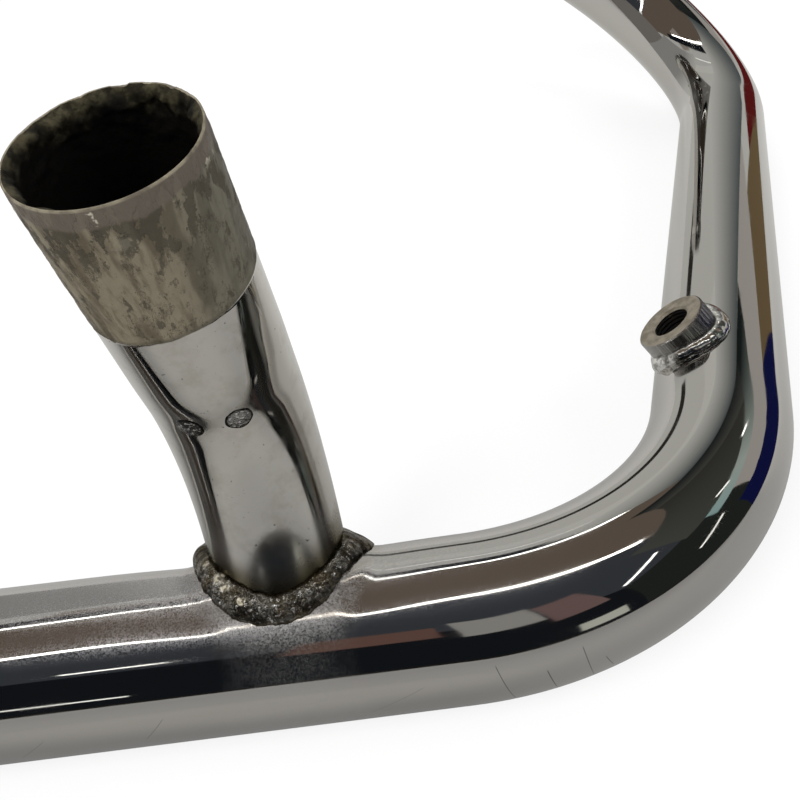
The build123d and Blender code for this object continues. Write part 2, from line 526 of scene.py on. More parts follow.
def make_soot():
    """Dry black soot, as inside any used exhaust, with a few brown crumbs."""
    finish, tree = new_finish("soot_finish")
    crumbs = clouds(tree, object_place(tree), 500, 4.0, 0.65)
    colour = blend(tree, step_up(tree, crumbs, 0.58, 0.78), SOOT_BLACK, CRUMB_BROWN)
    return finished(finish, shaded(tree, colour, 0.85, bumps(tree, crumbs, 0.8, 0.3 * MM)))


chrome = make_chrome()
soot = make_soot()
print("nodes in the chrome:", len(chrome.node_tree.nodes), "and in the soot:", len(soot.node_tree.nodes))

# %% [markdown]
# The header pipe is one tube from the outlet to the head. A curve with a bevel could draw it, but
# rings give exact arcs, a true inner wall and the outlet's slight sizing. A weld shrinks as it cools
# and draws the wall in beside it, which bends the mirrored lamps there, so the top of the run is
# sunk by less than half a millimetre round the foot of the branch.

# %% The header pipe
PIPE_AROUND = 160
SKIN_INSET = 0.08 * MM  # how far the skins stay inside the solids
BEAD_TOE = 4.8 * MM
SINK_DEPTH = 0.45 * MM
SINK_REACH = 12 * MM
SINK_START = 146 * MM
SINK_END = 216 * MM
BEND_STEP = 1.5


def eased(share):
    """A smooth step from 0 to 1."""
    share = np.clip(share, 0, 1)
    return share * share * (3 - 2 * share)


def weld_sink(along, angle):
    """How far the weld's shrinking drew the top of the run in, just outside the toe of the bead."""
    across, up = PIPE_RADIUS * np.cos(angle), PIPE_RADIUS * np.sin(angle)
    away = np.stack([np.full(len(angle), along), across, up], 1) - stub_root[0]
    ahead = away @ stub_root[1]
    reach = np.linalg.norm(away - np.outer(ahead, stub_root[1]), axis=1)
    past_toe = reach - STUB_RADIUS - BEAD_TOE
    deep = SINK_DEPTH * np.exp(-((past_toe / SINK_REACH) ** 2))
    deep = deep * eased((past_toe + 0.5 * MM) / (3 * MM)) * eased((across + 10 * MM) / (8 * MM))
    return np.where((ahead > 0) & (along < RUN), deep, 0.0)


def pipe_radius_at(inset, sunk=False):
    """A function of the pipe's radius, which is a little smaller at the outlet."""
    def radius(along, angle):
        grown = np.clip((along - OUTLET_LENGTH) / OUTLET_TAPER, 0, 1)
        plain = np.full(len(angle), OUTLET_RADIUS + (PIPE_RADIUS - OUTLET_RADIUS) * grown - inset)
        return plain - weld_sink(along, angle) if sunk else plain
    return radius


pipe_rows = tube_route(outlet_mouth, [
    ("straight", OUTLET_LENGTH, 5 * MM),
    ("straight", OUTLET_TAPER, 1 * MM),
    ("straight", SINK_START - OUTLET_LENGTH - OUTLET_TAPER, 5 * MM),
    ("straight", SINK_END - SINK_START, 1.6 * MM),
    ("straight", RUN - SINK_END, 4 * MM),
    ("bend", BEND_RADIUS, LOWER_TURN, BEND_STEP),
    ("straight", LEG, 5 * MM),
    ("roll", UPPER_LIFT),
    ("bend", BEND_RADIUS, UPPER_TURN, BEND_STEP),
    ("straight", SPIGOT, 2 * MM),
])
pipe_points = np.vstack([
    ring_grid(pipe_rows, pipe_radius_at(SKIN_INSET, True), PIPE_AROUND),
    ring_grid(pipe_rows, pipe_radius_at(PIPE_WALL), PIPE_AROUND),
])
pipe_quads, pipe_finish = tube_quads(len(pipe_rows), PIPE_AROUND)
header_pipe = piece_from("header_tube", pipe_points, pipe_quads, [chrome, soot], pipe_finish)

# %% [markdown]
# The foot of the branch is cut to a saddle, so that it sits on the round pipe. One formula gives any
# point of a branch's skin, by the length along it and the angle round it. Halving the interval
# again and again then finds, at each angle, the length at which the skin comes out of the pipe.

# %% Where a branch meets the pipe
SEARCH_START = -14 * MM
SEARCH_END = 40 * MM
HALVINGS = 40


def branch_skin(branch, along, angle, radius):
    """Points of a branch's skin, with the ways outwards and ahead at each."""
    (origin, ahead, inner), bend, degrees = branch
    turned = np.clip(along / bend, 0, math.radians(degrees))[..., None]
    way = np.cos(turned) * ahead + np.sin(turned) * inner
    mark = np.cos(turned) * inner - np.sin(turned) * ahead
    side = np.cross(ahead, inner)
    centre = origin + bend * (np.sin(turned) * ahead + (1 - np.cos(turned)) * inner)
    centre = centre + way * (along[..., None] - bend * turned)
    out = np.cos(angle)[..., None] * mark + np.sin(angle)[..., None] * side
    return centre + out * np.asarray(radius)[..., None], out, way


def off_axis(points, pipe_station):
    """The way from a straight pipe's axis to points, square to the axis."""
    away = points - pipe_station[0]
    return away - (away @ pipe_station[1])[..., None] * pipe_station[1]


def seam_along(branch, pipe_station, radius, angle):
    """How far along a branch its skin comes out of the pipe, at each angle."""
    low, high = np.full(len(angle), SEARCH_START), np.full(len(angle), SEARCH_END)
    for _ in range(HALVINGS):
        middle = (low + high) / 2
        points = branch_skin(branch, middle, angle, np.full(len(angle), radius))[0]
        inside = np.linalg.norm(off_axis(points, pipe_station), axis=1) < PIPE_RADIUS
        low, high = np.where(inside, middle, low), np.where(inside, high, middle)
    return high


stub_branch = (stub_bend_start, STUB_BEND_RADIUS, STUB_TURN)
stub_seam = seam_along(stub_branch, outlet_mouth, STUB_RADIUS, full_turn(8))
print("stub comes out of the pipe, mm past its foot:", (stub_seam / MM).round(1))

# %% [markdown]
# Gas has to pass from the pipe into the branch, and the sensor has to reach the gas. So the pipe has
# a hole under each, cut with a Boolean modifier, as a hole saw and a drill would cut them. The saw
# is a plain bar that follows the branch.

# %% Holes in the pipe
BUNG_RADIUS = 10.5 * MM
BUNG_FACE = 25.5 * MM
BUNG_ALONG = 19 * MM
BUNG_ROLL = 42.7
BUNG_BORE = 5.4 * MM
HOLE_END = 24 * MM
HOLE_RINGS = 10
HOLE_SHARP = math.radians(40)


def cut_hole(piece, branch, radius, start, around):
    """Cuts a round hole along a branch with a Boolean modifier and keeps a plain mesh."""
    along, angle = np.meshgrid(np.linspace(start, HOLE_END, HOLE_RINGS), full_turn(around), indexing="ij")
    skin = branch_skin(branch, along, angle, np.full(along.shape, radius))[0].reshape(-1, 3)
    spots = list(range(len(skin)))
    ends = [spots[:around][::-1], spots[-around:]]
    mesh = bpy.data.meshes.new("hole_saw")
    mesh.from_pydata(skin.tolist(), [], quads_between(HOLE_RINGS, around).tolist() + ends)
    saw = new_object("hole_saw", mesh)
    cut = piece.modifiers.new("hole", "BOOLEAN")
    cut.object, cut.operation, cut.solver = saw, "DIFFERENCE", "EXACT"
    piece.data = plain_mesh(piece)
    piece.modifiers.remove(cut)
    bpy.data.objects.remove(saw)
    piece.data.set_sharp_from_angle(angle=HOLE_SHARP)
    print("after a hole:", len(piece.data.vertices), "points,", len(piece.data.polygons), "faces")


bung_on_leg = roll(go_ahead(leg_start, BUNG_ALONG), 90 - BUNG_ROLL)
bung_branch = ((bung_on_leg[0], bung_on_leg[2], leg_start[1]), 1.0, 0)
cut_hole(header_pipe, stub_branch, STUB_RADIUS - STUB_WALL, -STUB_FOOT, 120)
cut_hole(header_pipe, bung_branch, BUNG_BORE, 0, 72)

# %% [markdown]
# The crossover stub is a short bent tube. Its slip end was clamped in a sleeve for years, so the
# plate there is gone under a brown crust with a sharp lower edge. Its rings are skewed at the saddle
# cut, even further up, and closest where detail is: round the two plug welds, which sit in shallow
# dimples, and over the crust.

# %% Rings of the crossover stub
STUB_AROUND = 240
SKEWED_RINGS = 17
EVEN_START = 14 * MM
PLUG_SPREAD = 18.2
DIMPLE_DEEP = 0.22 * MM
DIMPLE_WIDE = 4.0 * MM
CRUST_LENGTH = 27.2 * MM
STUB_SLIP = STUB_BEND_RADIUS * math.radians(STUB_TURN)
STUB_END = STUB_SLIP + SLIP_FLARE + SLIP_LENGTH
DIMPLES_START = STUB_SLIP - 6 * MM
DIMPLES_END = STUB_SLIP + 8 * MM
CRUST_START = STUB_END - CRUST_LENGTH - 2 * MM

stub_angle = full_turn(STUB_AROUND)
even_stations = np.r_[
    np.linspace(EVEN_START, DIMPLES_START, 40, endpoint=False),
    np.linspace(DIMPLES_START, DIMPLES_END, 36, endpoint=False),
    np.linspace(DIMPLES_END, CRUST_START, 12, endpoint=False),
    np.linspace(CRUST_START, STUB_END, 84),
]


def stub_stations(radius):
    """Lengths along the stub by ring and angle: skewed from the saddle cut, then even."""
    seam = seam_along(stub_branch, outlet_mouth, radius, stub_angle)
    skewed = [seam + (EVEN_START - seam) * share for share in np.linspace(0, 1, SKEWED_RINGS + 1)[:-1]]
    return np.vstack([skewed, by_ring(even_stations, STUB_AROUND)])


def angle_from(angle, degrees):
    """How far round angles are from one angle in degrees, the short way."""
    return (angle - math.radians(degrees) + math.pi) % (2 * math.pi) - math.pi


def stub_radius_at(along):
    """The stub's radius, which grows at the slip end and sinks a little round the plug welds."""
    grown = eased((along - STUB_SLIP + 5 * MM) / (SLIP_FLARE + 9 * MM))
    radius = STUB_RADIUS + (SLIP_RADIUS - STUB_RADIUS) * grown
    for side in (-PLUG_SPREAD, PLUG_SPREAD):
        reach = np.hypot(angle_from(stub_angle, side) * STUB_RADIUS, along - STUB_SLIP)
        radius = radius - DIMPLE_DEEP * np.exp(-((reach / DIMPLE_WIDE) ** 2))
    return radius


print("stub from its bend to the rim, mm:", round(STUB_END / MM, 1))

# %% [markdown]
# The crust stands a little proud, which is real thickness and not only colour. The rim is chipped on
# its far side, and lumps of crud have baked on inside it. Marks on each point tell the finish how
# far it is from the crust's edge, the rim and the weld.

# %% Crust, chips and crud of the stub
CRUST_THICK = 0.15 * MM
CRUST_ROUGH = 0.12 * MM
CRUST_LUMP = 2.2 * MM
CRUST_TILT = 0.9 * MM
CRUST_WANDER = 0.1 * MM
CRUST_STEP = 0.4 * MM
CRUD_THICK = 1.1 * MM
CRUD_REACH = 11 * MM
CRUD_LUMP = 4 * MM
RIM_BEVEL = 0.8 * MM
RIM_BEVEL_LENGTH = 1.6 * MM
RIM_CHIP = 0.5 * MM
RIM_CHIP_REACH = 4 * MM


def wander(angle, size, seed):
    """A smooth random wander round a ring, the same each time for one seed."""
    places = [(math.cos(turned) * size, math.sin(turned) * size, seed) for turned in angle]
    return np.array([noise.fractal(place, 0.6, 2.0, 5) for place in places])


def lumps(along, weight, size, seed):
    """Random lumps on the stub's skin where the weight isn't zero."""
    spots = branch_skin(stub_branch, along, every_angle, np.full(along.shape, STUB_RADIUS))[0] / size
    heights = np.zeros(along.shape)
    for ring, spot in np.argwhere(weight > 0):
        x, y, z = spots[ring, spot]
        heights[ring, spot] = noise.fractal((x, y, z + seed), 0.7, 2.0, 3)
    return heights * weight


crust_edge = STUB_END - CRUST_LENGTH + CRUST_TILT * np.sin(stub_angle)
crust_edge = crust_edge + CRUST_WANDER * wander(stub_angle, 2.0, 4.7)
far_side = np.clip(0.15 - np.cos(stub_angle + 0.35), 0, 1)
rim_chips = RIM_CHIP * far_side * np.clip(wander(stub_angle, 2.5, 9.4), 0, 1)
outer_along, inner_along = (
    along - rim_chips * np.clip(1 - (STUB_END - along) / RIM_CHIP_REACH, 0, 1)
    for along in (stub_stations(STUB_RADIUS), stub_stations(STUB_RADIUS - STUB_WALL))
)
every_angle = by_angle(stub_angle, len(outer_along))

below_rim = STUB_END - outer_along
crusted = np.clip((outer_along - crust_edge) / CRUST_STEP, 0, 1) * np.clip(below_rim / (2 * MM), 0, 1)
crust_lumps = np.minimum(CRUST_ROUGH * lumps(outer_along, crusted, CRUST_LUMP, 3.0), CRUST_ROUGH / 2)
outer_radius = stub_radius_at(outer_along) - SKIN_INSET + CRUST_THICK * crusted + crust_lumps
outer_skin = branch_skin(stub_branch, outer_along, every_angle, outer_radius)[0]

below_rim = STUB_END - inner_along
baked = np.clip(below_rim / (0.8 * MM), 0, 1) * np.clip(1.1 - below_rim / CRUD_REACH, 0, 1)
caked = baked * (0.05 + 0.6 * far_side)
crud = np.maximum(CRUD_THICK * (0.9 * lumps(inner_along, baked, CRUD_LUMP, 8.0) + caked), 0)
bevel = RIM_BEVEL * np.clip(1 - below_rim / RIM_BEVEL_LENGTH, 0, 1)
inner_radius = stub_radius_at(inner_along) - STUB_WALL + bevel - crud
inner_skin = branch_skin(stub_branch, inner_along, every_angle, inner_radius)[0]

both_along = np.vstack([outer_along, inner_along])
stub_marks = {
    "past_edge": (both_along - crust_edge) / MM,
    "below_rim": (STUB_END - both_along) / MM,
    "from_seam": np.vstack([outer_along - outer_along[0], inner_along - inner_along[0]]) / MM,
}
print("crust edge wanders by mm:", round(np.ptp(crust_edge) / MM, 2))

# %% [markdown]
# The stub's plate and its crust are one finish with two layers, mixed by the mark that says how far
# a point is past the crust's edge. The plate has faint stains, and near the weld it is browned and
# less smooth.

# %% Plate of the stub
STUB_CHROME = (0.67, 0.65, 0.61, 1)
STAIN_TAN = (0.36, 0.335, 0.27, 1)
FOOT_BROWN = (0.14, 0.112, 0.05, 1)
DIRT_DARK = (0.05, 0.045, 0.04, 1)


def stub_plate(tree, where):
    """Plate with faint stains, a heat tint by the weld and a few specks of dirt."""
    colour, rough, bump = chrome_parts(tree, where, 0.0, STUB_CHROME)
    stain = step_up(tree, clouds(tree, where, 130, 4.0, 0.65), 0.45, 0.68, 0.0, 0.3)
    colour = blend(tree, stain, colour, STAIN_TAN)
    rough = plus(tree, rough, times(tree, stain, 0.2))
    from_seam = named_mark(tree, "from_seam")
    toe = plus(tree, from_seam, times(tree, clouds(tree, where, 150, 2.0, 0.5), 3.0))
    colour = blend(tree, step_up(tree, toe, 5.4, 15.0, 0.9, 0.0), colour, FOOT_BROWN)
    rough = plus(tree, rough, step_up(tree, from_seam, 5.0, 28.0, 0.2, 0.0))
    dirt = step_up(tree, clouds(tree, where, 1300, 2.0, 0.5), 0.71, 0.74, 0.0, 0.8)
    colour = blend(tree, dirt, colour, DIRT_DARK)
    return plate(tree, colour, rough, bump)


# %% [markdown]
# The crust is dull and streaked along the tube by the sleeve that was pulled off. Layer by layer it
# gets finer streaks, a greyer side, dark flakes with cracked edges, grit, a band under the rim, a few
# pale worn patches, a bright worn rim and a dark lower lip. A list of shares and colours, blended in
# turn, keeps such a stack easy to read and to change.

# %% Crust of the stub
CRUST_SLANT = (0, 6, 0)
CRUST_BROWN = (0.074, 0.058, 0.032, 1)
CRUST_TAN = (0.15, 0.127, 0.083, 1)
STREAK_BROWN = (0.075, 0.058, 0.032, 1)
CRUST_GREY = (0.068, 0.067, 0.05, 1)
FLAKE_DARK = (0.042, 0.034, 0.02, 1)
CRACK_DARK = (0.03, 0.023, 0.013, 1)
GRIT_DARK = (0.045, 0.036, 0.024, 1)
BAND_BROWN = (0.088, 0.071, 0.054, 1)
WORN_PALE = (0.33, 0.31, 0.24, 1)
RIM_STEEL = (0.34, 0.3, 0.22, 1)
LIP_DARK = (0.06, 0.05, 0.032, 1)


def stub_crust(tree, where, past_edge, below_rim, flake):
    """The brown crust, from the marks of its edge and the rim and a pattern of flakes."""
    streak = clouds(tree, stretched(tree, where, (230, 230, 26), CRUST_SLANT), 1.0, 3.0, 0.6)
    fine = clouds(tree, stretched(tree, where, (800, 800, 70), CRUST_SLANT), 1.0, 3.0, 0.6)
    blotch = clouds(tree, stretched(tree, where, (380, 380, 200)), 1.0, 5.0, 0.68)
    grit = clouds(tree, where, 1700, 3.0, 0.7)
    high_up = step_up(tree, below_rim, 5.0, 14.0, 0.0, 0.1)
    dark = step_up(tree, minus(tree, blotch, high_up), 0.465, 0.535, 0.0, 0.8)
    flake_edge = sums(tree, "ABSOLUTE", minus(tree, blotch, 0.53))
    band_edge = plus(tree, below_rim, times(tree, streak, 3.0))
    worn = step_up(tree, clouds(tree, where, 300, 3.0, 0.6), 0.64, 0.68)
    bright_rim = step_up(tree, below_rim, 0.1, 0.45, 1.0, 0.0)
    colour = blend(tree, step_up(tree, streak, 0.42, 0.56), CRUST_BROWN, CRUST_TAN)
    for share, layer in (
        (step_up(tree, fine, 0.5, 0.68, 0.0, 0.6), STREAK_BROWN),
        (step_up(tree, parts_of(tree, where)[0], 176 * MM, 187 * MM, 0.0, 0.6), CRUST_GREY),
        (dark, FLAKE_DARK),
        (faded(tree, step_up(tree, flake_edge, 0.0, 0.02, 0.9, 0.0), (flake, 0.42, 0.58)), CRACK_DARK),
        (step_up(tree, grit, 0.62, 0.72, 0.0, 0.5), GRIT_DARK),
        (step_up(tree, band_edge, 4.4, 5.0, 0.85, 0.0), BAND_BROWN),
        (faded(tree, worn, (below_rim, 2.0, 4.5, 1.0, 0.12)), WORN_PALE),
        (faded(tree, bright_rim, (streak, 0.35, 0.6, 0.35, 1.0)), RIM_STEEL),
        (step_up(tree, past_edge, 0.5, 1.3, 0.55, 0.0), LIP_DARK),
    ):
        colour = blend(tree, share, colour, layer)
    height = plus(tree, times(tree, grit, 0.5), times(tree, dark, 0.9))
    rough = step_up(tree, blotch, 0.4, 0.65, 0.5, 0.75)
    return shaded(tree, colour, rough, bumps(tree, height, 0.7, 0.18 * MM), times(tree, bright_rim, 0.5))


def make_stub_finish():
    """Plate below the crust's ragged edge and crust above it."""
    finish, tree = new_finish("stub_finish")
    where = object_place(tree)
    past_edge, below_rim = named_mark(tree, "past_edge"), named_mark(tree, "below_rim")
    flake = clouds(tree, where, 420, 3.0, 0.6)
    ragged_edge = plus(tree, past_edge, step_up(tree, flake, 0.62, 0.7, 0.0, 0.7))
    crusted = step_up(tree, ragged_edge, -0.05, 0.1)
    crust = stub_crust(tree, where, past_edge, below_rim, flake)
    return finished(finish, layered(tree, crusted, stub_plate(tree, where), crust))


stub_finish = make_stub_finish()
print("nodes in the stub's finish:", len(stub_finish.node_tree.nodes))

# %% [markdown]
# Inside the rim the soot has an olive crust that thins out with depth. The skins, their marks and
# both finishes then make the stub in one piece.

# %% The crossover stub
CRUD_SOOT = (0.0035, 0.003, 0.0025, 1)
CRUD_DARK = (0.012, 0.0105, 0.0055, 1)
CRUD_OLIVE = (0.05, 0.043, 0.024, 1)


def make_crud():
    """Soot inside the stub, with olive crud caked on it near the rim."""
    finish, tree = new_finish("stub_crud_finish")
    where = object_place(tree)
    crumbs = clouds(tree, where, 420, 4.0, 0.65)
    ragged = centred(tree, clouds(tree, where, 140, 3.0, 0.6), 12.0)
    depth = plus(tree, named_mark(tree, "below_rim"), ragged)
    olive = blend(tree, step_up(tree, crumbs, 0.4, 0.65), CRUD_DARK, CRUD_OLIVE)
    colour = blend(tree, step_up(tree, depth, 0.6, 4.0, 1.0, 0.0), CRUD_SOOT, olive)
    return finished(finish, shaded(tree, colour, 0.8, bumps(tree, crumbs, 0.9, 0.4 * MM), specular=0.25))


stub_quads, stub_finishes = tube_quads(len(outer_along), STUB_AROUND)
crossover_stub = piece_from(
    "crossover_branch", np.vstack([outer_skin, inner_skin]), stub_quads,
    [stub_finish, make_crud()], stub_finishes, stub_marks,
)

# %% [markdown]
# Weld metal freezes in ripples and lumps. One Geometry Nodes tree gives that skin to every bead: it
# pushes the points of a smooth bead in and out along their normals by two sizes of noise, as far as
# the bead's own mark allows, so that the toes stay seated on the tubes. Sizes are inputs, so each
# bead can be coarse or fine.

# %% A weld skin in Geometry Nodes
def make_weld_skin():
    tree = bpy.data.node_groups.new("weld_skin", "GeometryNodeTree")
    sockets = {}
    for name, kind in (
        ("Bead", "NodeSocketGeometry"), ("Lump height", "NodeSocketFloat"), ("Lump scale", "NodeSocketFloat"),
        ("Grain height", "NodeSocketFloat"), ("Grain scale", "NodeSocketFloat"), ("Seed", "NodeSocketFloat"),
        ("Finish", "NodeSocketMaterial"),
    ):
        sockets[name] = tree.interface.new_socket(name, in_out="INPUT", socket_type=kind).identifier
    tree.interface.new_socket("Bead", in_out="OUTPUT", socket_type="NodeSocketGeometry")
    given = tree.nodes.new("NodeGroupInput").outputs
    where = add(tree, "GeometryNodeInputPosition").outputs[0]
    heights = []
    for size, detail in (("Lump", 1.0), ("Grain", 3.0)):
        sizes = {"Vector": where, "W": given["Seed"], "Scale": given[size + " scale"], "Detail": detail}
        pattern = add(tree, "ShaderNodeTexNoise", sizes, noise_dimensions="4D").outputs[0]
        heights.append(times(tree, minus(tree, pattern, 0.5), given[size + " height"]))
    proud = add(tree, "GeometryNodeInputNamedAttribute", {"Name": "proud"}, data_type="FLOAT").outputs[0]
    height = times(tree, plus(tree, *heights), proud)
    normal = add(tree, "GeometryNodeInputNormal").outputs[0]
    push = add(tree, "ShaderNodeVectorMath", {0: normal, "Scale": height}, operation="SCALE").outputs[0]
    pushed = add(tree, "GeometryNodeSetPosition", {"Geometry": given["Bead"], "Offset": push}).outputs[0]
    whole = add(tree, "GeometryNodeRealizeInstances", {"Geometry": pushed}).outputs[0]
    dressed = add(tree, "GeometryNodeSetMaterial", {"Geometry": whole, "Material": given["Finish"]})
    tree.links.new(dressed.outputs[0], tree.nodes.new("NodeGroupOutput").inputs[0])
    return tree, sockets


weld_skin, weld_sockets = make_weld_skin()
print("weld skin's inputs:", list(weld_sockets))


def apply_weld_skin(piece, finish, lump, grain, seed):
    """Runs the weld skin on a bead and keeps a plain mesh. lump and grain are (height, scale)."""
    skin = piece.modifiers.new("weld_skin", "NODES")
    skin.node_group = weld_skin
    values = {
        "Lump height": lump[0], "Lump scale": lump[1],
        "Grain height": grain[0], "Grain scale": grain[1],
        "Seed": seed, "Finish": finish,
    }
    for name, value in values.items():
        skin[weld_sockets[name]] = value
    made = plain_mesh(piece)
    piece.modifiers.remove(skin)
    piece.data = made
    made.materials.clear()
    made.materials.append(finish)
    print(piece.name, "after its skin:", len(made.vertices), "points")


# %% [markdown]
# A fillet bead fills the corner between a branch and the pipe. A section at each angle has its upper
# toe on the branch, its lower toe on the pipe and a crown between them, and a seat that reaches a
# little into both. Legs and crown may change round the ring, as a hand's work does.

# %% Beads round a branch
BEAD_SEAT = 0.25 * MM
BEAD_ROWS = 26
BEAD_FULLNESS = 0.7  # a lower power makes a fuller crown


def bead_ring(name, branch, pipe_station, radius, leg_up, leg_out, crown, finish, crisp=1.0):
    """A fillet bead round a branch. Legs, crown and how crisp its skin is are given at each angle."""
    around = len(crown)
    angle = full_turn(around)
    whole = np.full(around, radius)
    foot = seam_along(branch, pipe_station, radius, angle)
    seam, out, _ = branch_skin(branch, foot, angle, whole)
    top = branch_skin(branch, foot + leg_up, angle, whole)[0]
    square = off_axis(seam, pipe_station) / PIPE_RADIUS
    axis_spot = seam - square * PIPE_RADIUS
    round_way = np.cross(pipe_station[1], square)
    slide, swing = out @ pipe_station[1], (out * round_way).sum(1)
    length = np.hypot(slide, swing)
    turned = (leg_out * swing / length / PIPE_RADIUS)[:, None]
    toe_square = np.cos(turned) * square + np.sin(turned) * round_way
    toe = axis_spot + np.outer(leg_out * slide / length, pipe_station[1]) + toe_square * PIPE_RADIUS
    lift = (top + toe) / 2 - seam
    lift = lift / np.linalg.norm(lift, axis=1, keepdims=True)
    shares = np.linspace(0, 1, BEAD_ROWS)
    hump = (4 * shares * (1 - shares)) ** BEAD_FULLNESS
    grid = [
        top * (1 - share) + toe * share + lift * (crown * rise)[:, None]
        for share, rise in zip(shares, hump)
    ]
    grid += [toe - toe_square * BEAD_SEAT, seam - (square + out) * BEAD_SEAT, top - out * BEAD_SEAT]
    proud = np.outer(np.r_[np.clip(hump * 1.5, 0, 1), 0, 0, 0], crisp * np.ones(around))
    quads = closed_quads(len(grid), around)[:, ::-1]
    return piece_from(name, np.array(grid), quads, [finish], marks={"proud": proud})


# %% [markdown]
# The big bead at the foot of the stub is never polished before plating, so it stays dark and
# granular. Its finish follows its skin: painted glints on what stands proud, painted shade in the
# hollows, which come from the same noise as the lumps, and a few pale tan spots that are partly
# rubbed metal and partly painted highlights.

# %% Bare weld metal
SADDLE_SEED = 2.0
SADDLE_LUMPS = 290.0
WELD_GREY = (0.34, 0.33, 0.3, 1)
WELD_BROWN = (0.24, 0.2, 0.135, 1)
WELD_SMOOTH = (0.15, 0.13, 0.09, 1)
WELD_GRAIN_DARK = (0.07, 0.06, 0.045, 1)
# painted shade: near-black colour in the hollows between the lumps
WELD_HOLLOW_SHADE = (0.05, 0.042, 0.03, 1)
# painted glints: near-white colour on the proud grains
WELD_PAINTED_GLINT = (0.97, 0.96, 0.93, 1)
# pale tan spots: partly rubbed metal, partly painted highlight
RUBBED_TAN_HIGHLIGHT = (0.46, 0.42, 0.32, 1)

# Each pale spot, partly rubbed metal and partly a painted highlight, has its place and its reach, in mm
RUBBED_HIGHLIGHT_SPOTS = (
    ((168.6, 2.0, 22.0), 1.7),
    ((170.0, -0.1, 21.6), 1.7),
    ((173.3, -3.5, 20.6), 1.2),
    ((165.0, 6.8, 21.0), 1.2),
)


def rubbed_highlight_share(tree, where, grain):
    """How far a place of the bead is pale tan, in ragged spots: partly rubbed metal, partly a painted
    highlight.
    """
    rubbed_highlight = 0.0
    ragged = centred(tree, clouds(tree, where, 900, 2.0, 0.5), 2.4 * MM)
    for spot, reach in RUBBED_HIGHLIGHT_SPOTS:
        gap = plus(tree, vectors(tree, "DISTANCE", where, np.array(spot) * MM), ragged)
        rubbed_highlight = sums(tree, "MAXIMUM", rubbed_highlight, step_up(tree, gap, 0.4 * reach * MM, reach * MM, 0.85, 0.0))
    return faded(tree, rubbed_highlight, (grain, 0.4, 0.55, 0.3, 1.0))


def make_bare_weld():
    """Dark granular weld metal with painted glints, painted shade in its hollows, brown heat marks and pale
    spots.
    """
    finish, tree = new_finish("bare_weld_finish")
    where = object_place(tree)
    crisp = named_mark(tree, "proud")
    grain = clouds(tree, where, 1300, 3.0, 0.6)
    patch = clouds(tree, where, 200, 3.0, 0.6)
    lumpy = {"Vector": where, "W": SADDLE_SEED, "Scale": SADDLE_LUMPS, "Detail": 1.0}
    # painted shade: the hollows of the lump noise are painted near-black
    hollow_shade = add(tree, "ShaderNodeTexNoise", lumpy, noise_dimensions="4D").outputs[0]
    # painted glints: bright colour where the grain peaks on what stands proud
    glint = step_up(tree, clouds(tree, where, 1000, 2.0, 0.55), 0.6, 0.66)
    # pale tan spots, partly a painted highlight
    rubbed_highlight = rubbed_highlight_share(tree, where, grain)
    colour = blend(tree, step_up(tree, patch, 0.42, 0.62), WELD_GREY, WELD_BROWN)
    colour = blend(tree, step_up(tree, crisp, 0.25, 0.8), WELD_SMOOTH, colour)
    for share, layer in (
        (step_up(tree, grain, 0.55, 0.4, 0.0, 0.8), WELD_GRAIN_DARK),
        (step_up(tree, hollow_shade, 0.5, 0.38, 0.0, 0.85), WELD_HOLLOW_SHADE),
        (faded(tree, glint, (crisp, 0.5, 0.9)), WELD_PAINTED_GLINT),
        (rubbed_highlight, RUBBED_TAN_HIGHLIGHT),
    ):
        colour = blend(tree, share, colour, layer)
    bump = bumps(tree, faded(tree, grain, (crisp, 0.2, 0.9, 0.25, 1.0)), 0.8, 0.4 * MM)
    rough = step_up(tree, grain, 0.4, 0.62, 0.34, 0.12)
    return finished(finish, shaded(tree, colour, rough, bump, minus(tree, 1.0, rubbed_highlight)))


bare_weld = make_bare_weld()
print("nodes in the bare weld:", len(bare_weld.node_tree.nodes))

# %% [markdown]
# The bead itself was laid by hand. It is wide on the left, where a smooth lump stands, thin to the
# right of the front, and runs out into a low tail on the far right. Smooth humps at a few angles and
# a random ripple say so, in millimetres.

# %% The saddle bead
SADDLE_AROUND = 300
saddle_angle = full_turn(SADDLE_AROUND)


def hump_at(degrees, width):
    """A smooth rise round one angle of the saddle, in degrees from the front."""
    return np.exp(-((angle_from(saddle_angle, degrees) / math.radians(width)) ** 2))


ripple = wander(saddle_angle, 3.0, 1.3)
lump, tail, thin = hump_at(-100, 16), hump_at(105, 24), hump_at(55, 28)
saddle_up = 4.2 + 0.6 * lump + 0.4 * tail - 0.6 * thin + 0.5 * ripple
saddle_out = 3.3 + 0.4 * lump + 3.2 * tail - 0.5 * thin + 0.6 * hump_at(-20, 30) + 0.7 * ripple
saddle_crown = 0.9 + 1.2 * lump - 0.5 * tail + 0.4 * wander(saddle_angle, 5.0, 6.1)
saddle_crisp = 1 - 0.8 * hump_at(-92, 34) - 0.75 * hump_at(108, 34)
saddle_weld = bead_ring(
    "saddle_bead", stub_branch, outlet_mouth, STUB_RADIUS,
    saddle_up * MM, saddle_out * MM, saddle_crown * MM, bare_weld, saddle_crisp,
)
apply_weld_skin(saddle_weld, bare_weld, (1.1 * MM, SADDLE_LUMPS), (0.22 * MM, 1000), SADDLE_SEED)

# %% [markdown]
# The sensor boss is a turned ring welded to the leg, and its thread is a helix: the wall's radius
# goes in and out once a turn. A lathe profile with a ring for each corner makes it, and its foot
# follows the pipe like the stub's.

# %% Rings of the sensor boss
BUNG_MOUTH = 0.7 * MM
BUNG_EDGE = 0.4 * MM
THREAD_PITCH = 1.25 * MM
THREAD_DEEP = 0.55 * MM
SIDE_RINGS = 10
FACE_RINGS = 8
THREAD_RINGS = 90
BUNG_AROUND = 144

bung_angle = full_turn(BUNG_AROUND)


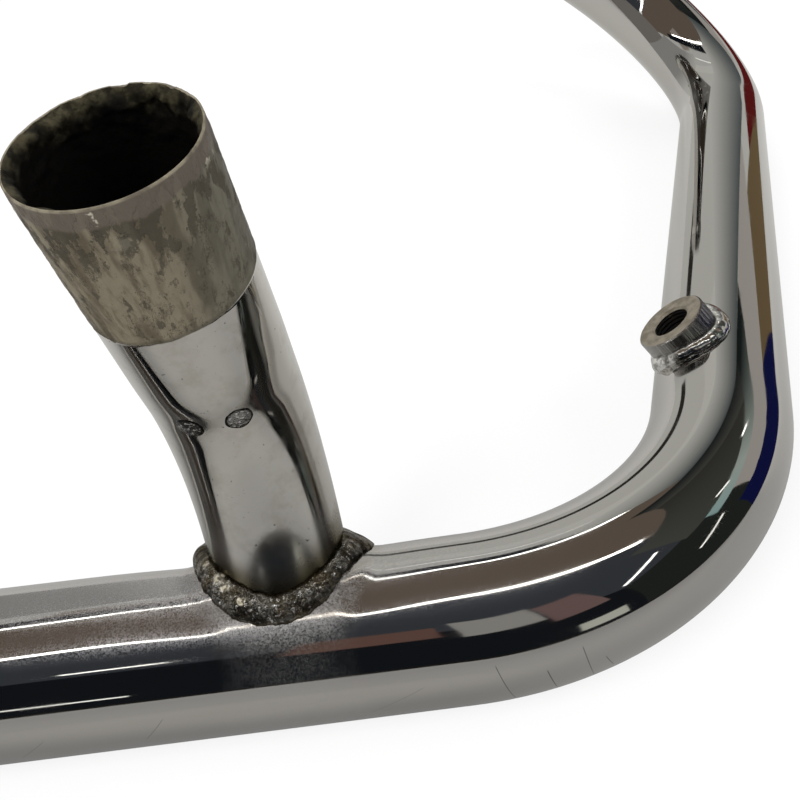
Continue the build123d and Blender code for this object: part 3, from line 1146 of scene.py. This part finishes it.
def bung_profile():
    """Rings of the boss from its foot, up its side, over its face and down its threaded bore."""
    level = np.ones(BUNG_AROUND)
    foot = seam_along(bung_branch, leg_start, BUNG_RADIUS, bung_angle)
    floor = seam_along(bung_branch, leg_start, BUNG_BORE, bung_angle)
    shoulder, mouth = BUNG_FACE - BUNG_EDGE, BUNG_FACE - BUNG_MOUTH
    side_shares = np.linspace(0, 1, SIDE_RINGS)
    side = [(foot + (shoulder - foot) * share, BUNG_RADIUS * level) for share in side_shares]
    face_radii = np.linspace(BUNG_RADIUS - BUNG_EDGE, BUNG_BORE + BUNG_MOUTH, FACE_RINGS)
    face = [(BUNG_FACE * level, radius * level) for radius in face_radii]
    bore = []
    for share in np.linspace(0, 1, THREAD_RINGS):
        along = mouth - (mouth - floor) * share
        turns = (along / THREAD_PITCH - bung_angle / (2 * math.pi)) % 1
        groove = np.clip(1.6 * (1 - np.abs(2 * turns - 1)) - 0.3, 0, 1)
        run_out = min(1, 12 * share, 12 * (1 - share))
        bore.append((along, BUNG_BORE + THREAD_DEEP * groove * run_out))
    return side, face, bore


side, face, bore = bung_profile()
rings = side + face + bore
print("rings of the boss:", len(side), "on its side,", len(face), "on its face,", len(bore), "in its bore")

# %% [markdown]
# Each part of the boss has its own finish. The side was plated over a turned surface that is finely
# ribbed along its length, with painted shade along the ribs, the face is bare steel gone dull, with
# turning marks round the bore, and the bore is sooty.

# %% The sensor boss
FACE_BROWN = (0.15, 0.13, 0.095, 1)
FACE_TAN = (0.25, 0.22, 0.17, 1)
FACE_GRIT = (0.08, 0.065, 0.045, 1)
# painted shade along the ribs, standing in for how they mirror the room
RIB_SHADE = (0.1, 0.095, 0.09, 1)
TURNING_PITCH = 0.35 * MM


def make_bung_face():
    """Bare steel gone tan and dull, with faint turning marks round the bore."""
    finish, tree = new_finish("bung_face_finish")
    where = object_place(tree)
    reach = reach_from_line(tree, where, bung_branch[0])
    marks = sums(tree, "SINE", times(tree, reach, 2 * math.pi / TURNING_PITCH))
    patch = clouds(tree, where, 350, 4.0, 0.6)
    grit = clouds(tree, where, 2200, 2.0, 0.6)
    colour = blend(tree, step_up(tree, patch, 0.35, 0.65), FACE_BROWN, FACE_TAN)
    colour = blend(tree, step_up(tree, grit, 0.6, 0.75, 0.0, 0.5), colour, FACE_GRIT)
    bump = bumps(tree, plus(tree, times(tree, marks, 0.15), grit), 0.5, 0.1 * MM)
    return finished(finish, shaded(tree, colour, 0.55, bump, 0.35))


def make_bung_flank():
    """Plate over a turned side that the cutter left finely ribbed along its length, with painted shade along
    the ribs.
    """
    finish, tree = new_finish("bung_flank_finish")
    colour, rough, _ = chrome_parts(tree, object_place(tree), 0.0)
    ribbed = {"W": named_mark(tree, "round_way"), "Scale": 3.2, "Detail": 2.0}
    rib = add(tree, "ShaderNodeTexNoise", ribbed, noise_dimensions="1D").outputs[0]
    # painted shade along the ribs
    colour = blend(tree, step_up(tree, rib, 0.55, 0.42, 0.0, 0.75), colour, RIB_SHADE)
    return finished(finish, plate(tree, colour, plus(tree, rough, 0.08), bumps(tree, rib, 0.6, 0.25 * MM)))


bung_along, bung_radii = (np.array(values) for values in zip(*rings))
bung_points = branch_skin(bung_branch, bung_along, by_angle(bung_angle, len(rings)), bung_radii)[0]
bung_rows = np.r_[np.zeros(len(side)), np.ones(len(face)), np.full(len(bore), 2)]
sensor_bung = piece_from(
    "sensor_boss", bung_points, closed_quads(len(rings), BUNG_AROUND),
    [make_bung_flank(), make_bung_face(), soot], np.repeat(bung_rows, BUNG_AROUND),
    marks={"round_way": by_angle(bung_angle * BUNG_RADIUS / MM, len(rings))}, sharp=30,
)

# %% [markdown]
# The boss's own bead was plated with the pipe, and its colour is painted brighter than the pipe's as a
# highlight. It is a row of soft puddles, scooped hollow on one side, with a blob where the welder stopped.

# %% The boss's bead
# painted highlight: a colour brighter than the pipe's plate
BEAD_PAINTED_BRIGHT = (0.85, 0.84, 0.81, 1)
BEAD_DULL = (0.45, 0.44, 0.41, 1)
BUNG_PUDDLES = 20
BUNG_BEAD_AROUND = 240


def make_plated_weld():
    """Plate over weld metal, too grainy to mirror the room, with a painted highlight: brighter than the
    pipe's plate.
    """
    finish, tree = new_finish("plated_weld_finish")
    where = object_place(tree)
    _, rough, _ = chrome_parts(tree, where, 0.0)
    grain = clouds(tree, where, 650, 2.0, 0.55)
    colour = blend(tree, step_up(tree, grain, 0.55, 0.35), BEAD_PAINTED_BRIGHT, BEAD_DULL)
    return finished(finish, plate(tree, colour, plus(tree, rough, 0.12), bumps(tree, grain, 0.4, 0.3 * MM)))


plated_weld = make_plated_weld()
bead_angle = full_turn(BUNG_BEAD_AROUND)
puddle = 0.5 + 0.5 * np.cos(BUNG_PUDDLES * (bead_angle + 0.09 * np.sin(3 * bead_angle)))
scooped = np.exp(-((bead_angle - math.radians(75)) / math.radians(35)) ** 2)
blob = np.exp(-((bead_angle - math.radians(140)) / math.radians(14)) ** 2)
bung_weld = bead_ring(
    "boss_bead", bung_branch, leg_start, BUNG_RADIUS,
    (2.8 + 0.1 * puddle + 1.8 * scooped + 0.4 * blob) * MM, (2.6 + 0.1 * puddle - 0.3 * scooped) * MM,
    (1.15 + 0.1 * puddle - 1.5 * scooped + 0.5 * blob) * MM, plated_weld,
)
apply_weld_skin(bung_weld, plated_weld, (0.4 * MM, 280), (0.07 * MM, 1100), 5.0)

# %% [markdown]
# Two plug welds on the stub hold a sleeve inside it: a hole was filled with weld metal and dressed
# nearly flush. Each is a low dome of rings, with its foot in the wall.

# %% Rings of the plug welds
PLUG_RADIUS = 2.9 * MM
PLUG_AROUND = 48
PLUG_DOME_RINGS = 14
PLUG_EYE = 0.02  # share of the radius at which the rings start and end
plug_shares = np.linspace(PLUG_EYE, 1, PLUG_DOME_RINGS)


def plug_points(spread):
    """Rings of one plug, from the middle of its dome out to its edge and down to the sleeve."""
    place = (np.full(1, STUB_SLIP), np.full(1, math.radians(spread)), np.zeros(1))
    middle, facing, up = (part[0] for part in branch_skin(stub_branch, *place))
    angle = full_turn(PLUG_AROUND)
    out = np.outer(np.cos(angle), np.cross(up, facing)) + np.outer(np.sin(angle), up)
    rings = []
    for share in plug_shares:
        reach = PLUG_RADIUS * share
        crown = (0.3 - 0.55 * share**3) * MM
        height = np.sqrt(STUB_RADIUS**2 - (reach * np.cos(angle)) ** 2) + crown
        rings.append(middle + np.outer(height, facing) + reach * out)
    depth = np.sqrt((STUB_RADIUS - STUB_WALL) ** 2 - (PLUG_RADIUS * np.cos(angle)) ** 2)
    for share in (1.0, PLUG_EYE):
        rings.append(middle + np.outer(depth, facing) + share * PLUG_RADIUS * out)
    return np.array(rings)


plug_spots = np.vstack([plug_points(-PLUG_SPREAD), plug_points(PLUG_SPREAD)])
print("rings of both plugs:", len(plug_spots))

# %% [markdown]
# A dark ring shows round each plug, and one of them is dirtier than the other. Their plate is painted
# brighter than the pipe's, as a highlight. Marks on the rings say how far out a point is and how dirty
# its plug is, so one finish serves both.

# %% Plug welds
# painted highlight: plate colour brighter than the pipe's chrome
PLUG_PAINTED_BRIGHT = (0.8, 0.78, 0.75, 1)
PLUG_DIRT = (0.03, 0.028, 0.025, 1)
GROOVE_BLACK = (0.012, 0.011, 0.01, 1)
LEFT_DIRT = 0.97
RIGHT_DIRT = 0.6


def make_plug_finish():
    """Plated weld metal painted brighter as a highlight, grainy in the middle, with a dark ring round its
    edge.
    """
    finish, tree = new_finish("plug_weld_finish")
    where = object_place(tree)
    colour, rough, _ = chrome_parts(tree, where, 0.0, PLUG_PAINTED_BRIGHT)
    grain = clouds(tree, where, 1700, 2.0, 0.6)
    dirty = faded(tree, named_mark(tree, "dirty"), (grain, 0.64, 0.54))
    colour = blend(tree, dirty, colour, PLUG_DIRT)
    groove = step_up(tree, times_plus(tree, grain, 0.25, named_mark(tree, "share")), 0.84, 0.97)
    colour = blend(tree, groove, colour, GROOVE_BLACK)
    return finished(finish, plate(tree, colour, plus(tree, rough, 0.06), bumps(tree, grain, 1.0, 0.4 * MM)))


plug_finish = make_plug_finish()
plug_rings = len(plug_spots) // 2
plug_quads = closed_quads(plug_rings, PLUG_AROUND)
plug_marks = {
    "proud": np.tile(np.r_[np.ones(PLUG_DOME_RINGS - 1), 0, 0, 0], 2),
    "share": np.tile(np.r_[plug_shares, 1, 1], 2),
    "dirty": np.repeat([LEFT_DIRT, RIGHT_DIRT], plug_rings),
}
plug_welds = piece_from(
    "plug_domes", plug_spots, np.vstack([plug_quads, plug_quads + plug_rings * PLUG_AROUND]), [plug_finish],
    marks={mark: by_ring(values, PLUG_AROUND) for mark, values in plug_marks.items()},
)
apply_weld_skin(plug_welds, plug_finish, (0.25 * MM, 500), (0.14 * MM, 1500), 7.0)

# %% [markdown]
# The head end isn't in view from the front. It has the plain collar of such headers, which a loose
# flange pulls against the port, and a fillet weld behind it. Both are turned on the spigot's axis
# from a short profile.

# %% The port collar and its weld
COLLAR_RADIUS = 23 * MM
COLLAR_WIDTH = 8 * MM
COLLAR_EDGE = 0.8 * MM
COLLAR_SETBACK = 4 * MM
COLLAR_BORE = PIPE_RADIUS + 0.1 * MM
COLLAR_LEG = 4 * MM
COLLAR_LEG_UP = 0.95 * COLLAR_LEG
COLLAR_BULGE = 0.5 * MM
COLLAR_AROUND = 180
collar_front = SPIGOT - COLLAR_SETBACK
collar_back = collar_front - COLLAR_WIDTH


def turned_ring(name, profile, finish, marks=None, sharp=None):
    """A ring turned on the spigot's axis, from pairs of length and radius."""
    lengths, radii = (by_ring(values, COLLAR_AROUND) for values in zip(*profile))
    angle = by_angle(full_turn(COLLAR_AROUND), len(profile))
    points = branch_skin((spigot_start, 1.0, 0), lengths, angle, radii)[0]
    quads = closed_quads(len(profile), COLLAR_AROUND)
    return piece_from(name, points, quads, [finish], marks=marks, sharp=sharp)


collar_profile = [
    (collar_back, COLLAR_BORE),
    (collar_back, COLLAR_RADIUS - COLLAR_EDGE),
    (collar_back + COLLAR_EDGE, COLLAR_RADIUS - SKIN_INSET),
    (collar_front - COLLAR_EDGE, COLLAR_RADIUS - SKIN_INSET),
    (collar_front, COLLAR_RADIUS - COLLAR_EDGE),
    (collar_front, COLLAR_BORE),
]
port_collar = turned_ring("port_ring", collar_profile, chrome, sharp=25)

shares = np.linspace(0, 1, 14)
bulge = np.sin(math.pi * shares)
weld_lengths = collar_back - COLLAR_LEG * (1 - shares)
weld_radii = PIPE_RADIUS + COLLAR_LEG_UP * shares + COLLAR_BULGE * bulge
weld_profile = list(zip(weld_lengths, weld_radii))
weld_profile += [(collar_back, PIPE_RADIUS - BEAD_SEAT), (collar_back - COLLAR_LEG, PIPE_RADIUS - BEAD_SEAT)]
weld_marks = {"proud": by_ring(np.r_[bulge, 0, 0], COLLAR_AROUND)}
port_weld = turned_ring("port_bead", weld_profile, plated_weld, weld_marks)
apply_weld_skin(port_weld, plated_weld, (0.7 * MM, 350), (0.15 * MM, 1200), 11.0)

# %% [markdown]
# The stage is a pale floor under soft light. The eye sees the floor white by way of Light Path, so
# the white adds no light. Mirrors see mostly a glow instead, with painted shade: a painted shadow
# under the run, darker in front, paler far off, and a painted pool of light in front of the run near
# the outlet, as a real floor in a room would look.

# %% Floor
FLOOR = -PIPE_RADIUS
FLOOR_HALF = 6.0
CENTRE = np.array([0.2, 0.12, 0.0])
FLOOR_PAINT = (0.86, 0.86, 0.86, 1)
FLOOR_NEAR = (0.06, 0.056, 0.045, 1)
FLOOR_FAR = (0.5, 0.49, 0.46, 1)
# painted shadow under the run, in the floor's glow for mirrors
FLOOR_UNDER_SHADOW = (0.02, 0.019, 0.016, 1)
# painted pool of light in front of the run, in the floor's glow for mirrors
FLOOR_LIGHT_POOL = (0.21, 0.2, 0.175, 1)
POOL_DRAW = (0.3, 1, 1)  # x is drawn in before the distance is taken, which makes the patch long
POOL_PLACE = (0.05, -0.056, FLOOR)
SQUARE = ((-1, -1), (1, -1), (1, 1), (-1, 1))
ONE_QUAD = np.array([[0, 1, 2, 3]])


def mirrored_floor(tree, where):
    """The floor's glow in a mirror, with painted shade, a painted shadow under the run and a painted pool of
    light.
    """
    x, y, _ = parts_of(tree, where)
    shade = blend(tree, step_up(tree, y, -0.25, 0.35), FLOOR_NEAR, FLOOR_FAR)
    # painted shadow under the run
    under = step_up(tree, sums(tree, "ABSOLUTE", y), 0.018, 0.07, 0.85, 0.0)
    under = faded(tree, under, (x, 0.21, 0.27, 1.0, 0.35))
    shade = blend(tree, under, shade, FLOOR_UNDER_SHADOW)
    away = vectors(tree, "DISTANCE", stretched(tree, where, POOL_DRAW), POOL_PLACE)
    return blend(tree, step_up(tree, away, 0.012, 0.034, 1.0, 0.0), shade, FLOOR_LIGHT_POOL)


def make_floor():
    """Pale paint that the eye sees white and mirrors see mostly as a glow with painted shade and light."""
    finish, tree = new_finish("floor_finish")
    where = object_place(tree)
    rays = add(tree, "ShaderNodeLightPath").outputs
    reach = vectors(tree, "DISTANCE", where, CENTRE)
    looked_at = plus(tree, rays["Is Camera Ray"], rays["Is Transmission Ray"])
    seen = faded(tree, looked_at, (reach, 0.4, 1.5, 0.8, 1.0))
    paint = add(tree, "ShaderNodeBsdfDiffuse", {"Color": FLOOR_PAINT}).outputs[0]
    white = add(tree, "ShaderNodeEmission", {"Strength": 1.0}).outputs[0]
    mirrored = add(tree, "ShaderNodeEmission", {"Color": mirrored_floor(tree, where)}).outputs[0]
    shader = layered(tree, seen, paint, white)
    finished(finish, layered(tree, times(tree, rays["Is Glossy Ray"], 0.75), shader, mirrored))
    corners = np.array([(x * FLOOR_HALF, y * FLOOR_HALF, FLOOR) for x, y in SQUARE])
    piece_from("pale_floor", corners, ONE_QUAD, [finish])


make_floor()

# %% [markdown]
# A mirror needs something to mirror, so dark and pale studio cards stand round the object where only
# reflections see them. All of them glow: the thin ones are the room's lamps, and the rest are no lamps,
# with the light and shade of a room painted into their glow. Flat cards are given by a centre and two
# half edges, curved ones by compass angles and heights, and thin lamps by two directions. A card seen
# by way of two mirrors is dimmer.

# %% Helpers for cards
MIDDLE = np.array([0.2, 0.0, 0.0])
AWAY = 1.2
LINE_AWAY = 0.97 * AWAY
CURVE_COLUMNS = 9
SECOND_MIRROR = 0.4
LAMP_WHITE = (1, 1, 0.97)


def glow(name, colour, strength=1.0, second=None):
    """A plain glow, or one that fades to a second colour along the mark named share."""
    finish, tree = new_finish(name)
    shade = (*colour, 1)
    if second:
        shade = blend(tree, named_mark(tree, "share"), shade, (*second, 1))
    bounces = add(tree, "ShaderNodeLightPath").outputs["Glossy Depth"]
    power = faded(tree, strength, (bounces, 1.0, 2.0, 1.0, SECOND_MIRROR))
    return finished(finish, add(tree, "ShaderNodeEmission", {"Color": shade, "Strength": power}).outputs[0])


def for_mirrors(piece):
    """Hides a card from all but reflections."""
    piece.visible_camera = piece.visible_diffuse = piece.visible_shadow = False


def card(name, centre, across, up, colour, strength=1.0):
    """A flat studio card from its centre and its two half edges."""
    centre, across, up = (np.array(part, float) for part in (centre, across, up))
    corners = np.array([centre + across * x + up * y for x, y in SQUARE])
    for_mirrors(piece_from(name, corners, ONE_QUAD, [glow(name + "_glow", colour, strength)]))


def way_to(compass, rise):
    """A direction from a compass angle and a height in degrees, 0 being +Y and 90 +X."""
    compass, rise = math.radians(compass), math.radians(rise)
    return np.array([math.sin(compass) * math.cos(rise), math.cos(compass) * math.cos(rise), math.sin(rise)])


def curved_card(name, sides, heights, colour, second=None):
    """A curved card between two compass angles and two heights, which may fade to a second colour."""
    shares = np.linspace(0, 1, CURVE_COLUMNS)
    angles = sides[0] + (sides[1] - sides[0]) * shares
    points = np.array([MIDDLE + AWAY * way_to(angle, height) for height in heights for angle in angles])
    first = np.arange(CURVE_COLUMNS - 1)
    above = first + CURVE_COLUMNS
    quads = np.stack([first, first + 1, above + 1, above], 1)
    finish = glow(name + "_glow", colour, second=second)
    for_mirrors(piece_from(name, points, quads, [finish], marks={"share": np.tile(shares, 2)}))


def line_card(name, start, end, width, strength):
    """A thin bright card between two directions."""
    first, last = (MIDDLE + LINE_AWAY * way_to(*spot) for spot in (start, end))
    along, centre = (last - first) / 2, (first + last) / 2
    across = np.cross(along, centre - MIDDLE)
    card(name, centre, along, across * width / np.linalg.norm(across), LAMP_WHITE, strength)


# %% [markdown]
# Flat cards make the room: a brown ceiling whose glow is painted darker near the eye and paler far
# off, four walls, a mat and a skirting. Thin bright ones are its lamps. The long, slightly turned ones
# draw the bright lines along the run.

# %% Room and lamps in the mirrors
ROOM, HIGH = 1.5, 1.3
NEAR_EDGE, FAR_EDGE = -0.4 * HIGH, 2.3
CEILING_Y = (NEAR_EDGE + FAR_EDGE) / 2
CEILING_HALF = (FAR_EDGE - NEAR_EDGE) / 2
LAMPS = HIGH - 0.02
for name, centre, across, up, colour in (
    ("ceiling_card", (0.2, CEILING_Y, HIGH), (2.2, 0, 0), (0, CEILING_HALF, 0), (0.145, 0.115, 0.092)),
    ("near_ceiling", (0.2, -1.185, HIGH - 0.005), (2.2, 0.574, 0), (0, 0.95, 0), (0.046, 0.052, 0.062)),
    ("far_ceiling", (0.2, 1.94, HIGH - 0.008), (2.2, 1.034, 0), (0, 0.8, 0), (0.55, 0.55, 0.53)),
    ("dark_line", (0.055, 0.984, LAMPS), (0.9, 0.423, 0), (-0.044, 0.093, 0), (0.008, 0.01, 0.014)),
    ("pale_ceiling", (-0.36, 0.78, HIGH - 0.01), (0.17, 0, 0), (0, 0.32, 0), (0.3, 0.27, 0.24)),
    ("near_card", (0.2, -ROOM, 0.62), (2.2, 0, 0), (0, 0, 0.68), (0.009, 0.011, 0.014)),
    ("near_mat", (0.2, -1.05, FLOOR + 0.002), (2.2, 0, 0), (0, 0.55, 0), (0.02, 0.018, 0.016)),
    ("far_card", (0.2, ROOM + 0.25, 0.65), (2.2, 0, 0), (0, 0, 0.7), (0.56, 0.56, 0.53)),
    ("far_top", (0.2, ROOM + 0.24, 1.1), (2.2, 0, 0), (0, 0, 0.16), (0.62, 0.62, 0.59)),
    ("far_skirting", (0.2, ROOM + 0.24, 0.28), (2.2, 0, 0), (0, 0, 0.07), (0.03, 0.028, 0.025)),
    ("right_card", (2.0, 0.1, 0.65), (0, 2.2, 0), (0, 0, 0.7), (0.02, 0.023, 0.021)),
    ("left_card", (-1.6, 0.1, 0.65), (0, 2.2, 0), (0, 0, 0.7), (0.2, 0.19, 0.18)),
):
    card(name, centre, across, up, colour)
card("long_strip", (-0.05, -0.265, LAMPS), (1.15, 0.3, 0), (-0.007, 0.028, 0), LAMP_WHITE, 6)
card("cross_strip", (0.11, 0.87, LAMPS), (0.66, 0.31, 0), (-0.01, 0.021, 0), LAMP_WHITE, 6)
card("thin_strip", (0.0, 1.43, LAMPS), (0.75, 0.28, 0), (-0.005, 0.013, 0), LAMP_WHITE, 1.6)
card("short_strip", (-0.47, -1.28, LAMPS), (0.125, 0, 0), (0, 0.024, 0), LAMP_WHITE, 3)
line_card("bend_tube", (128, 31), (108, 41), 0.012, 3)
line_card("bend_glint", (109, 15), (96, 21), 0.01, 2)
line_card("low_strip", (-159.5, 7.6), (-151, 7.6), 0.011, 2)
line_card("bend_spot", (61, 30.5), (62.8, 32.5), 0.013, 3)
line_card("bend_streak", (80.5, 31.5), (85, 34.5), 0.011, 2)

# %% [markdown]
# Curved cards are the things that stand about in the room: pale, pink and warm boards that the bend
# mirrors in front, and navy, brown and red ones low on the right, which the leg's outer side shows.

# %% Boards in the mirrors
DARK = (0.012, 0.016, 0.016)
TEAL = (0.4, 0.46, 0.43)
WALL = (0.55, 0.55, 0.52)
WALL_SHADE = (0.31, 0.31, 0.3)
for name, sides, heights, colour, second in (
    ("pale_board", (152, 174), (31, 50), (0.33, 0.325, 0.31), None),
    ("pink_board", (135, 151), (25, 48), (0.18, 0.12, 0.115), None),
    ("warm_board", (176, 191), (34, 47), (0.15, 0.085, 0.07), None),
    ("low_window", (134, 147), (2, 11), (0.55, 0.56, 0.5), None),
    ("navy_board", (57.5, 92), (-0.8, 15), (0.007, 0.009, 0.06), None),
    ("brown_board", (43, 57.5), (-0.8, 14), (0.16, 0.115, 0.06), None),
    ("red_board", (29, 43), (-0.8, 9), (0.11, 0.012, 0.012), None),
    ("pale_wall", (38, 86), (14, 26), (0.42, 0.395, 0.37), None),
    ("teal_board", (42, 75), (26, 32), DARK, TEAL),
    ("teal_end", (75, 95), (26, 33), TEAL, (0.3, 0.45, 0.45)),
    ("dark_band", (38, 50), (32, 52), DARK, (0.065, 0.066, 0.06)),
    ("dark_end", (50, 104), (32, 52), (0.04, 0.04, 0.036), (0.07, 0.075, 0.065)),
    ("dark_corner", (38, 42), (26, 32), DARK, None),
    ("fading_wall", (16, 38), (11, 45), WALL, (0.085, 0.1, 0.105)),
    ("left_fade", (-24, -6), (-0.8, 42), WALL_SHADE, WALL),
    ("left_wall", (-62, -24), (-0.8, 42), (0.3, 0.3, 0.29), WALL_SHADE),
):
    curved_card(name, sides, heights, colour, second)


# %% [markdown]
# Three soft area lamps and an even world light what isn't a mirror: the crust, the bead and the
# floor. Mirrors don't see the lamps, and Light Path shows the world white behind the object without
# making it brighter as a light.

# %% Lamps and world
WORLD_LIGHT = 0.55


def soft_lamp(name, place, size, power):
    """A round area lamp that looks at the middle of the object."""
    lamp = bpy.data.lights.new(name, "AREA")
    lamp.shape, lamp.size, lamp.energy = "DISK", size, power
    holder = new_object(name, lamp)
    way = Vector(CENTRE) - Vector(place)
    holder.matrix_world = Matrix.Translation(place) @ way.to_track_quat("-Z", "Y").to_matrix().to_4x4()
    holder.visible_glossy = False
    print(name, "at", place, "with", power, "W")


def make_world():
    """An even white light that the eye and mirrors see as plain white."""
    world = bpy.data.worlds.new("studio_world")
    world.use_nodes = True
    tree = world.node_tree
    tree.nodes.clear()
    rays = add(tree, "ShaderNodeLightPath").outputs
    plain, white = (
        add(tree, "ShaderNodeBackground", {"Color": (1, 1, 1, 1), "Strength": strength}).outputs[0]
        for strength in (WORLD_LIGHT, 1.0)
    )
    seen = sums(tree, "MAXIMUM", rays["Is Camera Ray"], rays["Is Transmission Ray"])
    seen = sums(tree, "MAXIMUM", seen, rays["Is Glossy Ray"])
    add(tree, "ShaderNodeOutputWorld", {"Surface": layered(tree, seen, plain, white)})
    return world


soft_lamp("key_lamp", (-0.5, -0.6, 1.1), 0.7, 16)
soft_lamp("fill_lamp", (1.2, -0.3, 0.9), 0.9, 8)
soft_lamp("back_lamp", (0.2, 1.3, 1.0), 0.9, 8)
bpy.context.scene.world = make_world()

# %% [markdown]
# The camera stands close, in front of the run and above it, and looks down past the stub along the
# leg. Its place was worked out from the tube's outlines. A camera's matrix has the ways to its
# right, up and back as columns.

# %% Camera
CAMERA_PLACE = (0.205716, -0.107775, 0.15734)
CAMERA_RIGHT = (0.99312, -0.09629, -0.06671)
CAMERA_UP = (0.11292, 0.63546, 0.76383)
CAMERA_BACK = (-0.03116, -0.76610, 0.64196)
camera_data = bpy.data.cameras.new("camera")
camera_data.lens, camera_data.sensor_width = 36, 36
camera_data.clip_start = 5 * MM
camera = new_object("camera", camera_data)
camera_turn = Matrix((CAMERA_RIGHT, CAMERA_UP, CAMERA_BACK)).transposed().to_4x4()
camera.matrix_world = Matrix.Translation(CAMERA_PLACE) @ camera_turn
bpy.context.scene.camera = camera
bpy.context.scene.view_settings.view_transform = "Standard"
print("camera sees", round(math.degrees(camera_data.angle), 1), "degrees across")

# %% [markdown]
# Last, each piece is tied to the body that it rides on, and the solid that it stands for is hidden.
# The header is one rigid piece, so all of them ride on the root. The sleeve inside the stub has no
# finer skin: the imported solid itself gets soot.

# %% Tie the pieces to the frame
for piece, node, slot in (
    (header_pipe, "header_pipe", "chrome_plate"),
    (crossover_stub, "crossover_stub", "stub_plate"),
    (plug_welds, "plug_welds", "plated_weld"),
    (saddle_weld, "saddle_weld", "bare_weld"),
    (sensor_bung, "sensor_bung", "bung_steel"),
    (bung_weld, "bung_weld", "plated_weld"),
    (port_collar, "port_collar", "chrome_plate"),
    (port_weld, "port_weld", "plated_weld"),
):
    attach(piece, "root")
    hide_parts(node)
frame["nodes"]["stub_sleeve"].data.materials[0] = soot
